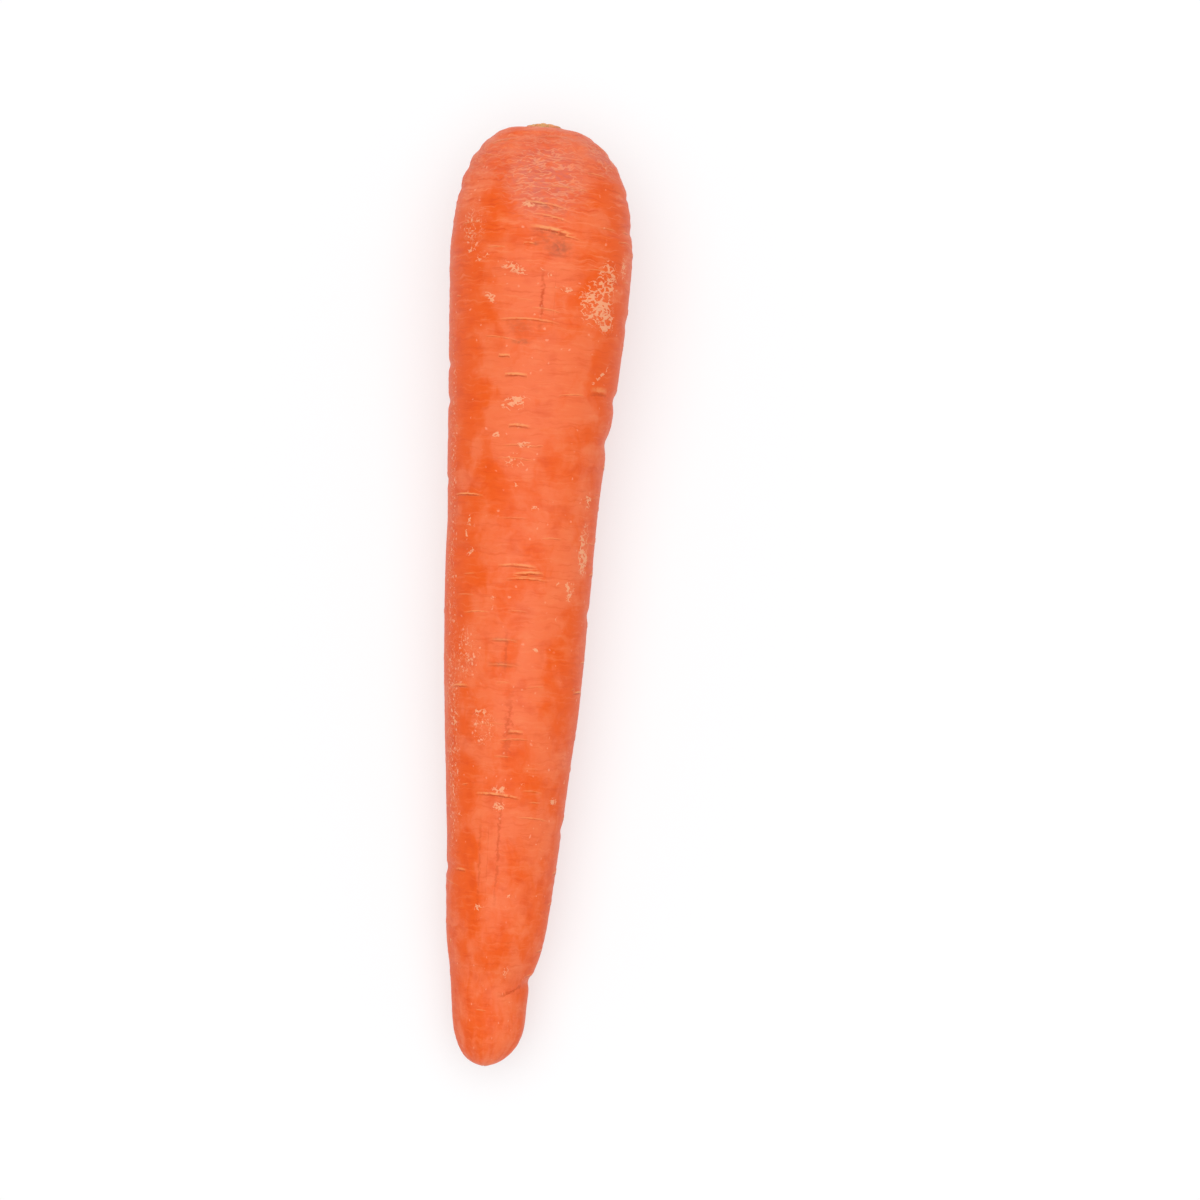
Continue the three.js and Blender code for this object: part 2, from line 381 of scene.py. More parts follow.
@dataclass(frozen=True)
class CarrotSkin:
    """The moist orange skin, with its patches of pale bloom and painted sheen, cross lines, pores, scuffs,
    side-root scars and bruises.

    Sizes are in millimetres. Where there are three, two are round the root and the last is along it. A span
    is the two values between which a pattern sets in.
    """

    deep: Colour = screen(208, 64, 14)
    clear: Colour = screen(228, 89, 25)
    # Partly the skin's pale bloom and partly a painted sheen, laid most on the upper side.
    bloom_and_sheen: Colour = screen(232, 111, 66)
    pale: Colour = screen(236, 132, 86)
    flake: Colour = screen(236, 165, 124)
    scar: Colour = screen(236, 158, 98)
    slit: Colour = screen(166, 60, 20)
    fleck: Colour = screen(244, 192, 156)
    streak: Colour = screen(202, 72, 26)
    bruise: Colour = screen(158, 80, 54)
    weather: Colour = screen(202, 104, 92)
    cork: Colour = screen(172, 106, 52)

    least_roughness: float = 0.35
    gloss: float = 0.15
    translucency: float = 0.15
    light_spread: Size = (1.0, 0.35, 0.12)
    light_reach: float = 1.5
    bump_strength: float = 0.4
    bump_depth: float = 0.3

    sway_size: float = 2.6
    sway: Size = (0.5, 0.5, 0.45)
    fine_size: Size = (1.1, 1.1, 0.7)
    patch_size: Size = (9, 9, 13)
    patch_raggedness: float = 0.6
    patch_sway_size: float = 8
    patch_sway: Size = (2.2, 2.2, 2.6)
    patch_span: Span = (0.32, 0.57)
    # How much less of the painted sheen the sides get, which paints them a shade deeper.
    clear_weight: float = 0.2
    side_shade_weight: float = 0.18
    mottle_size: Size = (5, 5, 3.2)
    dark_mottle: Span = (0.5, 0.75)
    dark_mottle_cover: float = 0.35
    pale_mottle: Span = (0.28, 0.45)
    pale_mottle_cover: float = 0.25
    line_size: Size = (6, 6, 0.5)
    dark_line: Span = (0.54, 0.72)
    least_dark_line: float = 0.08
    pale_line: Span = (0.3, 0.45)
    least_pale_line: float = 0.05
    wrinkle_cover: float = 0.5
    pore_size: float = 0.8
    pore_lots: Span = (0.95, 0.99)
    pore_edge: Span = (0.12, 0.4)
    pore_unevenness: float = 0.9
    lone_pore_cover: float = 0.4
    speck_cover: float = 0.55
    speck_crowding: float = 0.5
    thread_size: Size = (1.5, 1.5, 1.15)
    flake_size: Size = (2.4, 2.4, 2.2)
    flake_span: Span = (0.25, 0.7)
    flake_edge: Span = (-0.012, 0.014)
    flake_border: Span = (0.04, 0.2)
    scuff_breadth: float = 0.12
    speck_breadth: float = 0.02
    ridge_size: Size = (3.4, 3.4, 0.75)
    ridge_edge: Span = (0.012, 0.06)
    scar_fray: Span = (0.2, 0.5)
    scar_waver: float = 1.5
    lip_edge: Span = (0.1, 0.95)
    slit_offset: float = 1.2
    slit_edge: Span = (0.1, 0.65)
    streak_waver: float = 4
    streak_edge: Span = (0.1, 1.3)
    bead_size: Size = (1.6, 1.6, 1.1)
    bead_span: Span = (0.32, 0.5)
    bruise_fray: Span = (0.2, 0.75)
    weather_fray: Span = (0.1, 0.8)
    cork_fray: Span = (0.15, 0.6)

    def ground(self, graph: Graph, place: Wire, wander: Wire, lines: Wire) -> Wire:
        """Mix the orange of the skin: clear, or under a pale bloom that is partly a painted sheen, painted
        most on the upper side so that the sides are a painted shade deeper; mottled, with fine cross lines.

        Args:
            graph: The material's graph.
            place: Where on the skin.
            wander: The same places, pushed about a little.
            lines: The noise of the cross lines.

        Returns:
            The colour.
        """
        swayed = graph.warped(place, self.patch_sway_size, self.patch_sway)
        patches = graph.noise(swayed, self.patch_size, detail=5, ragged=self.patch_raggedness)
        cleared = graph.read(MarkKind.CLEAR) * self.clear_weight
        # Painted shade: the sides take less of the pale bloom and sheen, so they are painted a deeper orange
        # than the upper side.
        side_shade = (1 - graph.read(SkinPlace.UPWARD)) * self.side_shade_weight
        # The pale bloom mixed in here is partly a painted sheen.
        bloom_and_sheen_cover = (patches - (cleared + side_shade)).rises(*self.patch_span)
        colour = graph.blend(bloom_and_sheen_cover, self.clear, self.bloom_and_sheen)
        mottle = graph.noise(wander, self.mottle_size, detail=4)
        colour = graph.blend(mottle.rises(*self.dark_mottle) * self.dark_mottle_cover, colour, self.deep)
        pale_mottle = 1 - mottle.rises(*self.pale_mottle)
        colour = graph.blend(pale_mottle * self.pale_mottle_cover, colour, self.pale)
        wrinkled = graph.read(SkinPlace.WRINKLED) * self.wrinkle_cover
        dark_line = lines.rises(*self.dark_line) * (wrinkled + self.least_dark_line)
        pale_line = (1 - lines.rises(*self.pale_line)) * (wrinkled + self.least_pale_line)
        colour = graph.blend(dark_line, colour, self.deep)
        return graph.blend(pale_line, colour, self.pale)

    def pores(self, graph: Graph, wander: Wire, fine: Wire) -> Wire:
        """Find the small pale dots of uneven shape, sparse and faint but where the specks are.

        Args:
            graph: The material's graph.
            wander: Where on the skin, pushed about a little.
            fine: Fine noise, which makes the dots uneven.

        Returns:
            How strong the dots are.
        """
        specks = graph.read(MarkKind.SPECKS)
        near, lot = graph.cells(wander, self.pore_size)
        chosen = (lot + specks * self.speck_crowding).rises(*self.pore_lots)
        chosen = chosen * (specks * self.speck_cover + self.lone_pore_cover)
        return chosen * (1 - (near + fine.centred() * self.pore_unevenness).rises(*self.pore_edge))

    def flaked(self, graph: Graph, place: Wire, wander: Wire) -> Wire:
        """Find the pale broken skin of the scuffs, which frays into thin threads at its edge.

        Args:
            graph: The material's graph.
            place: Where on the skin.
            wander: The same places, pushed about a little.

        Returns:
            How broken the skin is.
        """
        from_thread = graph.noise(wander, self.thread_size, detail=3).centred().magnitude()
        patchy = graph.noise(place, self.flake_size, detail=3).rises(*self.flake_span)
        scuff = graph.read(MarkKind.SCUFF)
        specks = graph.read(MarkKind.SPECKS)
        breadth = scuff * self.scuff_breadth + specks * self.speck_breadth
        broken = breadth * patchy - from_thread
        return broken.rises(*self.flake_edge) * (scuff + specks).rises(*self.flake_border)

    def ridged(self, graph: Graph, wander: Wire) -> Wire:
        """Find the crests of the fine cross ridges that weathered skin has.

        Args:
            graph: The material's graph.
            wander: Where on the skin, pushed about a little.

        Returns:
            How strong the crests are.
        """
        waves = graph.noise(wander, self.ridge_size, detail=2)
        crest = 1 - waves.centred().magnitude().rises(*self.ridge_edge)
        return crest * graph.read(MarkKind.RIDGES)

    def scarred(self, graph: Graph, fine: Wire) -> tuple[Wire, Wire]:
        """Find the pale lip of each scar and the dark slit beside it.

        Args:
            graph: The material's graph.
            fine: Fine noise, by which the scars waver.

        Returns:
            How strong the lip is, and the slit.
        """
        scar = graph.read(MarkKind.SCAR) * fine.rises(*self.scar_fray)
        line = graph.read(SkinPlace.SCAR_LINE) + fine.centred() * self.scar_waver
        lip = scar * (1 - line.magnitude().rises(*self.lip_edge))
        slit = scar * (1 - (line + self.slit_offset).magnitude().rises(*self.slit_edge))
        return lip, slit

    def streaked(self, graph: Graph, place: Wire, fine: Wire) -> Wire:
        """Find the thin dark streaks along the root, which break up into beads.

        Args:
            graph: The material's graph.
            place: Where on the skin.
            fine: Fine noise, by which the streaks waver.

        Returns:
            How strong the streaks are.
        """
        wavering = graph.read(SkinPlace.STREAK_LINE) + fine.centred() * self.streak_waver
        beads = graph.noise(place, self.bead_size, detail=2).rises(*self.bead_span)
        off_line = wavering.magnitude().rises(*self.streak_edge)
        return graph.read(MarkKind.STREAK) * beads * (1 - off_line)

    def material(self) -> bpy.types.Material:
        """Make the material.

        Returns:
            The skin's material.
        """
        material, graph = start_material("carrot_skin")
        place = graph.read(SkinPlace.PLACE, "Vector")
        wander = graph.warped(place, self.sway_size, self.sway)
        lines = graph.noise(wander, self.line_size, detail=3)
        fine = graph.noise(wander, self.fine_size, detail=3)
        flaked = self.flaked(graph, place, wander)
        pores = self.pores(graph, wander, fine)
        ridged = self.ridged(graph, wander)
        lip, slit = self.scarred(graph, fine)
        streak = self.streaked(graph, place, fine)
        bruise = graph.read(MarkKind.BRUISE) * fine.rises(*self.bruise_fray)
        weather = graph.read(MarkKind.RIDGES) * fine.rises(*self.weather_fray)
        cork = graph.read(MarkKind.CORK) * fine.rises(*self.cork_fray)

        colour = self.ground(graph, place, wander, lines)
        for where, cover, paint in (
            (weather, 0.75, self.weather), (streak, 0.9, self.streak), (bruise, 0.8, self.bruise),
            (cork, 0.9, self.cork), (ridged, 0.45, self.flake), (pores, 0.75, self.fleck),
            (lip, 0.85, self.scar), (slit, 0.75, self.slit), (flaked, 0.85, self.flake),
        ):
            colour = graph.blend(where * cover, colour, paint)

        raised = lines * 0.35 + fine * 0.22 + flaked * 0.3 + pores * 0.2 + ridged * 0.5 + lip * 0.6
        dull = fine * 0.14 + flaked * 0.2 + cork * 0.25 + weather * 0.08
        finish_surface(graph, {
            "Base Color": colour,
            "Roughness": dull + self.least_roughness,
            "Normal": graph.bump(raised - slit * 0.9, self.bump_strength, self.bump_depth),
            "Specular IOR Level": self.gloss,
            "Subsurface Weight": self.translucency,
            "Subsurface Radius": self.light_spread,
            "Subsurface Scale": self.light_reach * MM,
        })
        return material


@dataclass(frozen=True)
class LeafBaseTissue:
    """The dry, fibrous stubs of the trimmed leaves, paler where they were cut.

    Sizes are in millimetres. A span is the two values between which a pattern sets in.
    """

    side: Colour = screen(232, 152, 104)
    green: Colour = screen(206, 164, 102)
    cut: Colour = screen(226, 186, 134)
    dark: Colour = screen(160, 100, 58)
    least_roughness: float = 0.58
    bump_strength: float = 0.5
    bump_depth: float = 0.15
    patch_size: Size = (2.2, 2.2, 2.2)
    green_patch: Span = (0.4, 0.62)
    dark_patch: Span = (0.45, 0.65)
    dark_patch_cover: float = 0.75
    fibre_size: Size = (0.3, 3, 0.3)
    dark_fibre: Span = (0.5, 0.7)
    dark_fibre_cover: float = 0.4
    vessel_size: float = 0.45
    vessel_edge: Span = (0.15, 0.4)

    def material(self) -> bpy.types.Material:
        """Make the material.

        Returns:
            The tissue's material.
        """
        material, graph = start_material("leaf_base_tissue")
        place = graph.add("ShaderNodeTexCoord", None, None, "Object")
        cut = graph.read(StubPlace.CUT)
        fibres = graph.noise(place, self.fibre_size, detail=4)
        patches = graph.noise(place, self.patch_size, detail=3)
        colour = graph.blend(patches.rises(*self.green_patch), self.side, self.green)
        colour = graph.blend(fibres.rises(*self.dark_fibre) * self.dark_fibre_cover, colour, self.dark)
        vessels, _ = graph.cells(place, self.vessel_size)
        face = graph.blend(vessels.rises(*self.vessel_edge), self.side, self.cut)
        face = graph.blend(patches.rises(*self.dark_patch) * self.dark_patch_cover, face, self.dark)
        finish_surface(graph, {
            "Base Color": graph.blend(cut, colour, face),
            "Roughness": patches * 0.2 + self.least_roughness,
            "Normal": graph.bump(fibres + vessels * 0.5, self.bump_strength, self.bump_depth),
        })
        return material


@dataclass(frozen=True)
class PaleFloor:
    """A plain pale floor."""

    colour: Colour = screen(172, 172, 173)
    least_roughness: float = 0.75
    gloss: float = 0.2
    glow: float = 0.51
    tooth_size: Size = (3, 3, 3)

    def material(self) -> bpy.types.Material:
        """Make the material.

        Returns:
            The floor's material.
        """
        material, graph = start_material("pale_floor")
        place = graph.add("ShaderNodeTexCoord", None, None, "Object")
        tooth = graph.noise(place, self.tooth_size, detail=3)
        finish_surface(graph, {
            "Base Color": self.colour,
            "Roughness": tooth * 0.1 + self.least_roughness,
            "Specular IOR Level": self.gloss,
            "Emission Color": WHITE,
            "Emission Strength": self.glow,
        })
        return material


@dataclass(frozen=True)
class Mark:
    """One mark on the skin, as it is seen from above.

    Fields: the kind, its distance from the crown end, how far across the half-width it is (-1 to 1, to the
    right), its half-sizes along the root and round it in millimetres, its strength, and the angle in
    degrees by which it is turned.
    """

    kind: MarkKind
    along: float
    across: float
    half_along: float
    half_round: float
    strength: float = 1.0
    turn: float = 0.0


PlacedMark = tuple[Mark, float]


@dataclass(frozen=True)
class SmoothLine:
    """A smooth line through stations of distance and value, its slopes taken from the neighbours."""

    stations: tuple[tuple[float, float], ...]

    def at(self, distance: np.ndarray) -> np.ndarray:
        """Read the line.

        Args:
            distance: Distances along the line.

        Returns:
            The value at each distance.
        """
        x, y = np.array(self.stations).T
        count = len(x)
        before = np.maximum(np.arange(count) - 1, 0)
        after = np.minimum(np.arange(count) + 1, count - 1)
        slope = (y[after] - y[before]) / (x[after] - x[before])
        i = np.clip(np.searchsorted(x, distance) - 1, 0, count - 2)
        span = x[i + 1] - x[i]
        t = np.clip((distance - x[i]) / span, 0, 1)
        rise = (y[i + 1] - y[i]) * t * t * (3 - 2 * t)
        return y[i] + rise + span * t * (1 - t) * (slope[i] * (1 - t) - slope[i + 1] * t)


@dataclass(frozen=True)
class Wave:
    """A wave over the skin: its turns round the root, its rate in radians a millimetre, and its height."""

    turns: int
    rate: float
    height: float

    def at(self, along: np.ndarray, angle: np.ndarray) -> np.ndarray:
        """Read the wave at distances from the crown end and angles round the root."""
        return self.height * np.sin(self.turns * angle + self.rate * along)


@dataclass(frozen=True)
class Groove:
    """A groove across the root: where it is, how far round it reaches, and its half-width and depth."""

    along: float
    angle: float
    reach: float
    half_width: float
    depth: float


@dataclass
class RootForm:
    """The form of the root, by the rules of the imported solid. Lengths are in millimetres."""

    length: float = 200
    shoulder_radius: float = 19.1
    taper: SmoothLine = SmoothLine((
        (0, 0.915), (14, 0.94), (29, 1), (58, 0.92), (80, 0.835), (101, 0.8), (122, 0.75), (139, 0.68),
        (156, 0.612), (171, 0.555), (176, 0.515), (181, 0.455), (186, 0.425), (192, 0.405), (200, 0.395),
    ))
    bow: SmoothLine = SmoothLine((
        (0, 0.5), (16, 1.5), (37, 1.95), (58, 1.55), (80, 1.15), (144, 1.45), (165, 1.25), (176, 0.9),
        (183, 0.4), (194, 0.65), (200, 0.1),
    ))
    crown_rounding: float = 19
    crown_squareness: float = 2.1
    tip_rounding: float = 10
    tip_squareness: float = 2
    dimple_radius: float = 6.2
    dimple_floor_radius: float = 5.1
    dimple_depth: float = 2.2
    rim_fall: float = 0.6
    rim_fall_reach: float = 4.5
    flat_along: float = 79.5
    flat_depth: float = 0.25
    belly_clearance: float = 1.3
    belly_reach: float = 45
    tip_lift: float = 2.6
    tip_lift_from: float = 140
    two_lobes: float = 0.018
    three_lobes: float = 0.014
    lobe_twist: float = 0.012
    lobes_grow_over: float = 8
    wrinkles: int = 18
    wrinkle_from: float = 20
    wrinkle_to: float = 176
    wrinkle_uneven: float = 0.7
    wrinkle_crowding: float = 1.15
    wrinkle_half_width: float = 1.1
    wrinkle_depth: Span = (0.3, 0.6)
    wrinkle_reach: Span = (0.5, 1.5)
    shoulder_rings: tuple[float, ...] = (4.2, 7.6, 11.4, 15.6)
    ring_half_width: float = 0.9
    ring_depth: float = 0.28
    folds: tuple[Groove, ...] = (
        Groove(58.5, 0, 0.8, 1.6, 0.6),
        Groove(66.5, 0, 0.7, 1.8, 0.7),
        Groove(182, 0.2, 0.9, 1.4, 0.7),
    )
    smooth_below: Span = (0.5, 1.0)
    wall_points: int = 60
    body_points: int = 12001
    rim_points: int = 4001
    softening_passes: int = 14
    grooves: list[Groove] = field(init=False)

    def __post_init__(self) -> None:
        """List the grooves: the shoulder's rings, the scattered wrinkles and the folds."""
        rings = [
            Groove(along, 0, math.inf, self.ring_half_width, self.ring_depth)
            for along in self.shoulder_rings
        ]
        self.grooves = [*rings, *(self.wrinkle(i) for i in range(self.wrinkles)), *self.folds]

    def wrinkle(self, i: int) -> Groove:
        """Place one of the wrinkles that run part of the way round.

        Args:
            i: The wrinkle's number.

        Returns:
            Its groove.
        """
        share = ((i + self.wrinkle_uneven * scatter(i, 1)) / self.wrinkles) ** self.wrinkle_crowding
        reach_low, reach_high = self.wrinkle_reach
        depth_low, depth_high = self.wrinkle_depth
        return Groove(
            along=self.wrinkle_from + share * (self.wrinkle_to - self.wrinkle_from),
            angle=2 * math.pi * scatter(i, 2),
            reach=reach_low + (reach_high - reach_low) * scatter(i, 3),
            half_width=self.wrinkle_half_width,
            depth=depth_low + (depth_high - depth_low) * scatter(i, 4),
        )

    @staticmethod
    def rounding(from_end: np.ndarray, length: float, squareness: float) -> np.ndarray:
        """Give how much of its full width the root has where an end rounds off.

        Args:
            from_end: Distances from the end.
            length: How far the rounding reaches.
            squareness: Its power: 2 is an ellipse, and more is squarer.

        Returns:
            The share of the full width at each distance.
        """
        left = np.clip(1 - from_end / length, 0, 1)
        return (1 - left**squareness) ** (1 / squareness)

    def body_radius(self, along: np.ndarray) -> np.ndarray:
        """Give the radius of the root, without its round ends."""
        return self.shoulder_radius * self.taper.at(along)

    def outline_radius(self, along: np.ndarray) -> np.ndarray:
        """Give the radius of the root's outline.

        Args:
            along: Distances from the crown end.

        Returns:
            The radius at each distance.
        """
        crown = self.rounding(along, self.crown_rounding, self.crown_squareness)
        tip = self.rounding(self.length - along, self.tip_rounding, self.tip_squareness)
        return self.body_radius(along) * crown * tip

    def middle_height(self, along: np.ndarray) -> np.ndarray:
        """Give the height of the middle line, which leaves the belly lying on its flat.

        Args:
            along: Distances from the crown end.

        Returns:
            The height at each distance.
        """
        from_flat = (along - self.flat_along) / self.belly_reach
        clear = self.belly_clearance * (1 - np.exp(-(from_flat**2)))
        tip = np.clip((along - self.tip_lift_from) / (self.length - self.tip_lift_from), 0, 1)
        return self.body_radius(along) - self.flat_depth + clear + self.tip_lift * tip**2

    def groove_depth(self, along: np.ndarray, angle: np.ndarray) -> np.ndarray:
        """Give how deep the grooves are. The belly stays smooth, and the ends of each groove fade out.

        Args:
            along: Distances from the crown end.
            angle: Angles round the root.

        Returns:
            The depth at each point.
        """
        smooth = rises(apart(angle, STRAIGHT_DOWN), self.smooth_below)
        depth = np.zeros_like(along)
        for groove in self.grooves:
            across = np.exp(-(((along - groove.along) / groove.half_width) ** 2))
            depth += groove.depth * across * (1 - ease(apart(angle, groove.angle) / groove.reach))
        return smooth * depth

    def lobes(self, along: np.ndarray, angle: np.ndarray) -> np.ndarray:
        """Give the two shallow swellings of the section, of two and of three lobes."""
        twisted = np.sin(3 * angle) * np.cos(self.lobe_twist * along)
        return self.two_lobes * np.sin(2 * angle) + self.three_lobes * twisted

    def fall(self, radius: np.ndarray, along: np.ndarray) -> np.ndarray:
        """Give how much lower the crown is at the dimple's rim, which rounds its outline.

        Args:
            radius: Distances from the middle line.
            along: Distances from the crown end.

        Returns:
            How far each point drops towards the tip.
        """
        up_the_wall = rises(radius, (self.dimple_floor_radius, self.dimple_radius))
        down_the_shoulder = 1 - ease((radius - self.dimple_radius) / self.rim_fall_reach)
        return np.where(along < self.crown_rounding, self.rim_fall * up_the_wall * down_the_shoulder, 0)

    def rim_distance(self) -> float:
        """Give the distance from the crown end at which the outline is as wide as the dimple."""
        along = np.linspace(0, self.crown_rounding, self.rim_points)
        return float(along[np.searchsorted(self.outline_radius(along), self.dimple_radius)])

    def profile(self, rows: int) -> tuple[np.ndarray, np.ndarray]:
        """Draw the half-outline from the floor of the dimple, over the shoulder and down to the tip.

        Args:
            rows: How many points the outline has, both of its ends on the axis.

        Returns:
            The radius and the distance from the crown end of each point, evenly spaced.
        """
        rim = self.rim_distance()
        wall = np.linspace(0, 1, self.wall_points)
        wall_radius = self.dimple_floor_radius + (self.dimple_radius - self.dimple_floor_radius) * wall
        wall_along = rim + self.dimple_depth * (1 - ease(wall))
        share = np.linspace(0, 1, self.body_points)
        body_along = rim + (self.length - rim) * (1 - np.cos(np.pi * share[1:])) / 2
        radius = np.concatenate(([0.0], wall_radius, self.outline_radius(body_along)))
        along = np.concatenate(([rim + self.dimple_depth], wall_along, body_along))
        run = np.concatenate(([0.0], np.cumsum(np.hypot(np.diff(radius), np.diff(along)))))
        even = np.linspace(0, run[-1], rows)
        return self.softened(np.interp(even, run, radius)), self.softened(np.interp(even, run, along))

    def softened(self, values: np.ndarray) -> np.ndarray:
        """Round the corners of a run of values, and keep both of its ends.

        Args:
            values: The run.

        Returns:
            The rounded run.
        """
        for _ in range(self.softening_passes):
            values = np.concatenate((
                values[:1],
                (values[:-2] + 2 * values[1:-1] + values[2:]) / 4,
                values[-1:],
            ))
        return values


@dataclass(frozen=True)
class SkinGrid:
    """Rings of points on the root's surface, with where each lies on the skin."""

    along: np.ndarray
    angle: np.ndarray
    radius: np.ndarray
    points: np.ndarray


class Recipe:
    """Geometry nodes with named inputs, applied to an object as a plain mesh."""

    def __init__(self, name: str) -> None:
        """Start a tree that takes and gives geometry, and takes a material.

        Args:
            name: The tree's name.
        """
        self.tree = bpy.data.node_groups.new(name, "GeometryNodeTree")
        self.graph = Graph(self.tree)
        self.identifiers: dict[str, str] = {}
        for side in ("OUTPUT", "INPUT"):
            self.tree.interface.new_socket(name="Geometry", in_out=side, socket_type="NodeSocketGeometry")
        self.group_input = self.graph.node("NodeGroupInput")
        self.geometry = Wire(self.graph, self.group_input.outputs["Geometry"])
        self.material = self.take("Material", "NodeSocketMaterial")

    def take(self, name: str, socket_type: str = "NodeSocketFloat") -> Wire:
        """Declare a named input.

        Args:
            name: The input's name.
            socket_type: The input's type of socket.

        Returns:
            The input's value.
        """
        socket = self.tree.interface.new_socket(name=name, in_out="INPUT", socket_type=socket_type)
        self.identifiers[name] = socket.identifier
        return Wire(self.graph, self.group_input.outputs[name])

    def read(self, attribute: Enum, data_type: str = "FLOAT") -> Wire:
        """Read an attribute of the geometry."""
        settings = {"data_type": data_type}
        return self.graph.add("GeometryNodeInputNamedAttribute", settings, {"Name": attribute.value})

    def finish(self, geometry: Wire) -> None:
        """End the tree: smooth, with no instances, and in the material that it was given.

        Args:
            geometry: The geometry to give.
        """
        smooth = self.graph.add("GeometryNodeSetShadeSmooth", None, {"Geometry": geometry})
        real = self.graph.add("GeometryNodeRealizeInstances", None, {"Geometry": smooth})
        dressed = self.graph.add(
            "GeometryNodeSetMaterial", None, {"Geometry": real, "Material": self.material}
        )
        self.graph.node("NodeGroupOutput", None, {"Geometry": dressed})

    def apply(self, piece: bpy.types.Object, values: dict[str, Any]) -> bpy.types.Object:
        """Run the tree on an object, and put the plain mesh that it gives in the object's place.

        Args:
            piece: The object that the tree starts from.
            values: The value of each named input.

        Returns:
            The same object, with the result as its mesh and no modifier.
        """
        modifier = piece.modifiers.new(self.tree.name, "NODES")
        modifier.node_group = self.tree
        for name, value in values.items():
            modifier[self.identifiers[name]] = value
        graph = bpy.context.evaluated_depsgraph_get()
        made = bpy.data.meshes.new_from_object(piece.evaluated_get(graph), depsgraph=graph)
        piece.modifiers.clear()
        made.name = piece.name
        piece.data = made
        return piece


def ring_mesh(name: str, rings: np.ndarray, first: np.ndarray, last: np.ndarray) -> bpy.types.Mesh:
    """Close a run of rings into a mesh whose faces point outward.

    Args:
        name: The mesh's name.
        rings: The points, ring by ring, counter-clockwise as seen from the last ring.
        first: The pole that closes the first ring.
        last: The pole that closes the last ring.

    Returns:
        The mesh.
    """
    count, sides, _ = rings.shape
    corner = 1 + np.arange(count * sides).reshape(count, sides)
    beside = np.roll(corner, -1, axis=1)
    walls = np.stack((corner[:-1], beside[:-1], beside[1:], corner[1:]), axis=-1).reshape(-1, 4)
    end = count * sides + 1
    start_fan = [(0, b, a) for a, b in zip(corner[0], beside[0], strict=True)]
    end_fan = [(a, b, end) for a, b in zip(corner[-1], beside[-1], strict=True)]
    vertices = np.vstack((first, rings.reshape(-1, 3), last))
    mesh = bpy.data.meshes.new(name)
    mesh.from_pydata(vertices.tolist(), [], [*walls.tolist(), *start_fan, *end_fan])
    return mesh


def write_attribute(mesh: bpy.types.Mesh, attribute: Enum, values: np.ndarray) -> None:
    """Write a value or a vector for each point of a mesh.

    Args:
        mesh: The mesh.
        attribute: The attribute, by its name.
        values: One number for each point, or one row of three.
    """
    is_vector = values.ndim > 1
    kind, key = ("FLOAT_VECTOR", "vector") if is_vector else ("FLOAT", "value")
    made = mesh.attributes.new(attribute.value, kind, "POINT")
    made.data.foreach_set(key, values.astype(np.float32).ravel())


def link_piece(name: str, mesh: bpy.types.Mesh) -> bpy.types.Object:
    """Put a mesh in the scene.

    Args:
        name: The object's name.
        mesh: The mesh.

    Returns:
        The object.
    """
    piece = bpy.data.objects.new(name, mesh)
    bpy.context.scene.collection.objects.link(piece)
    return piece


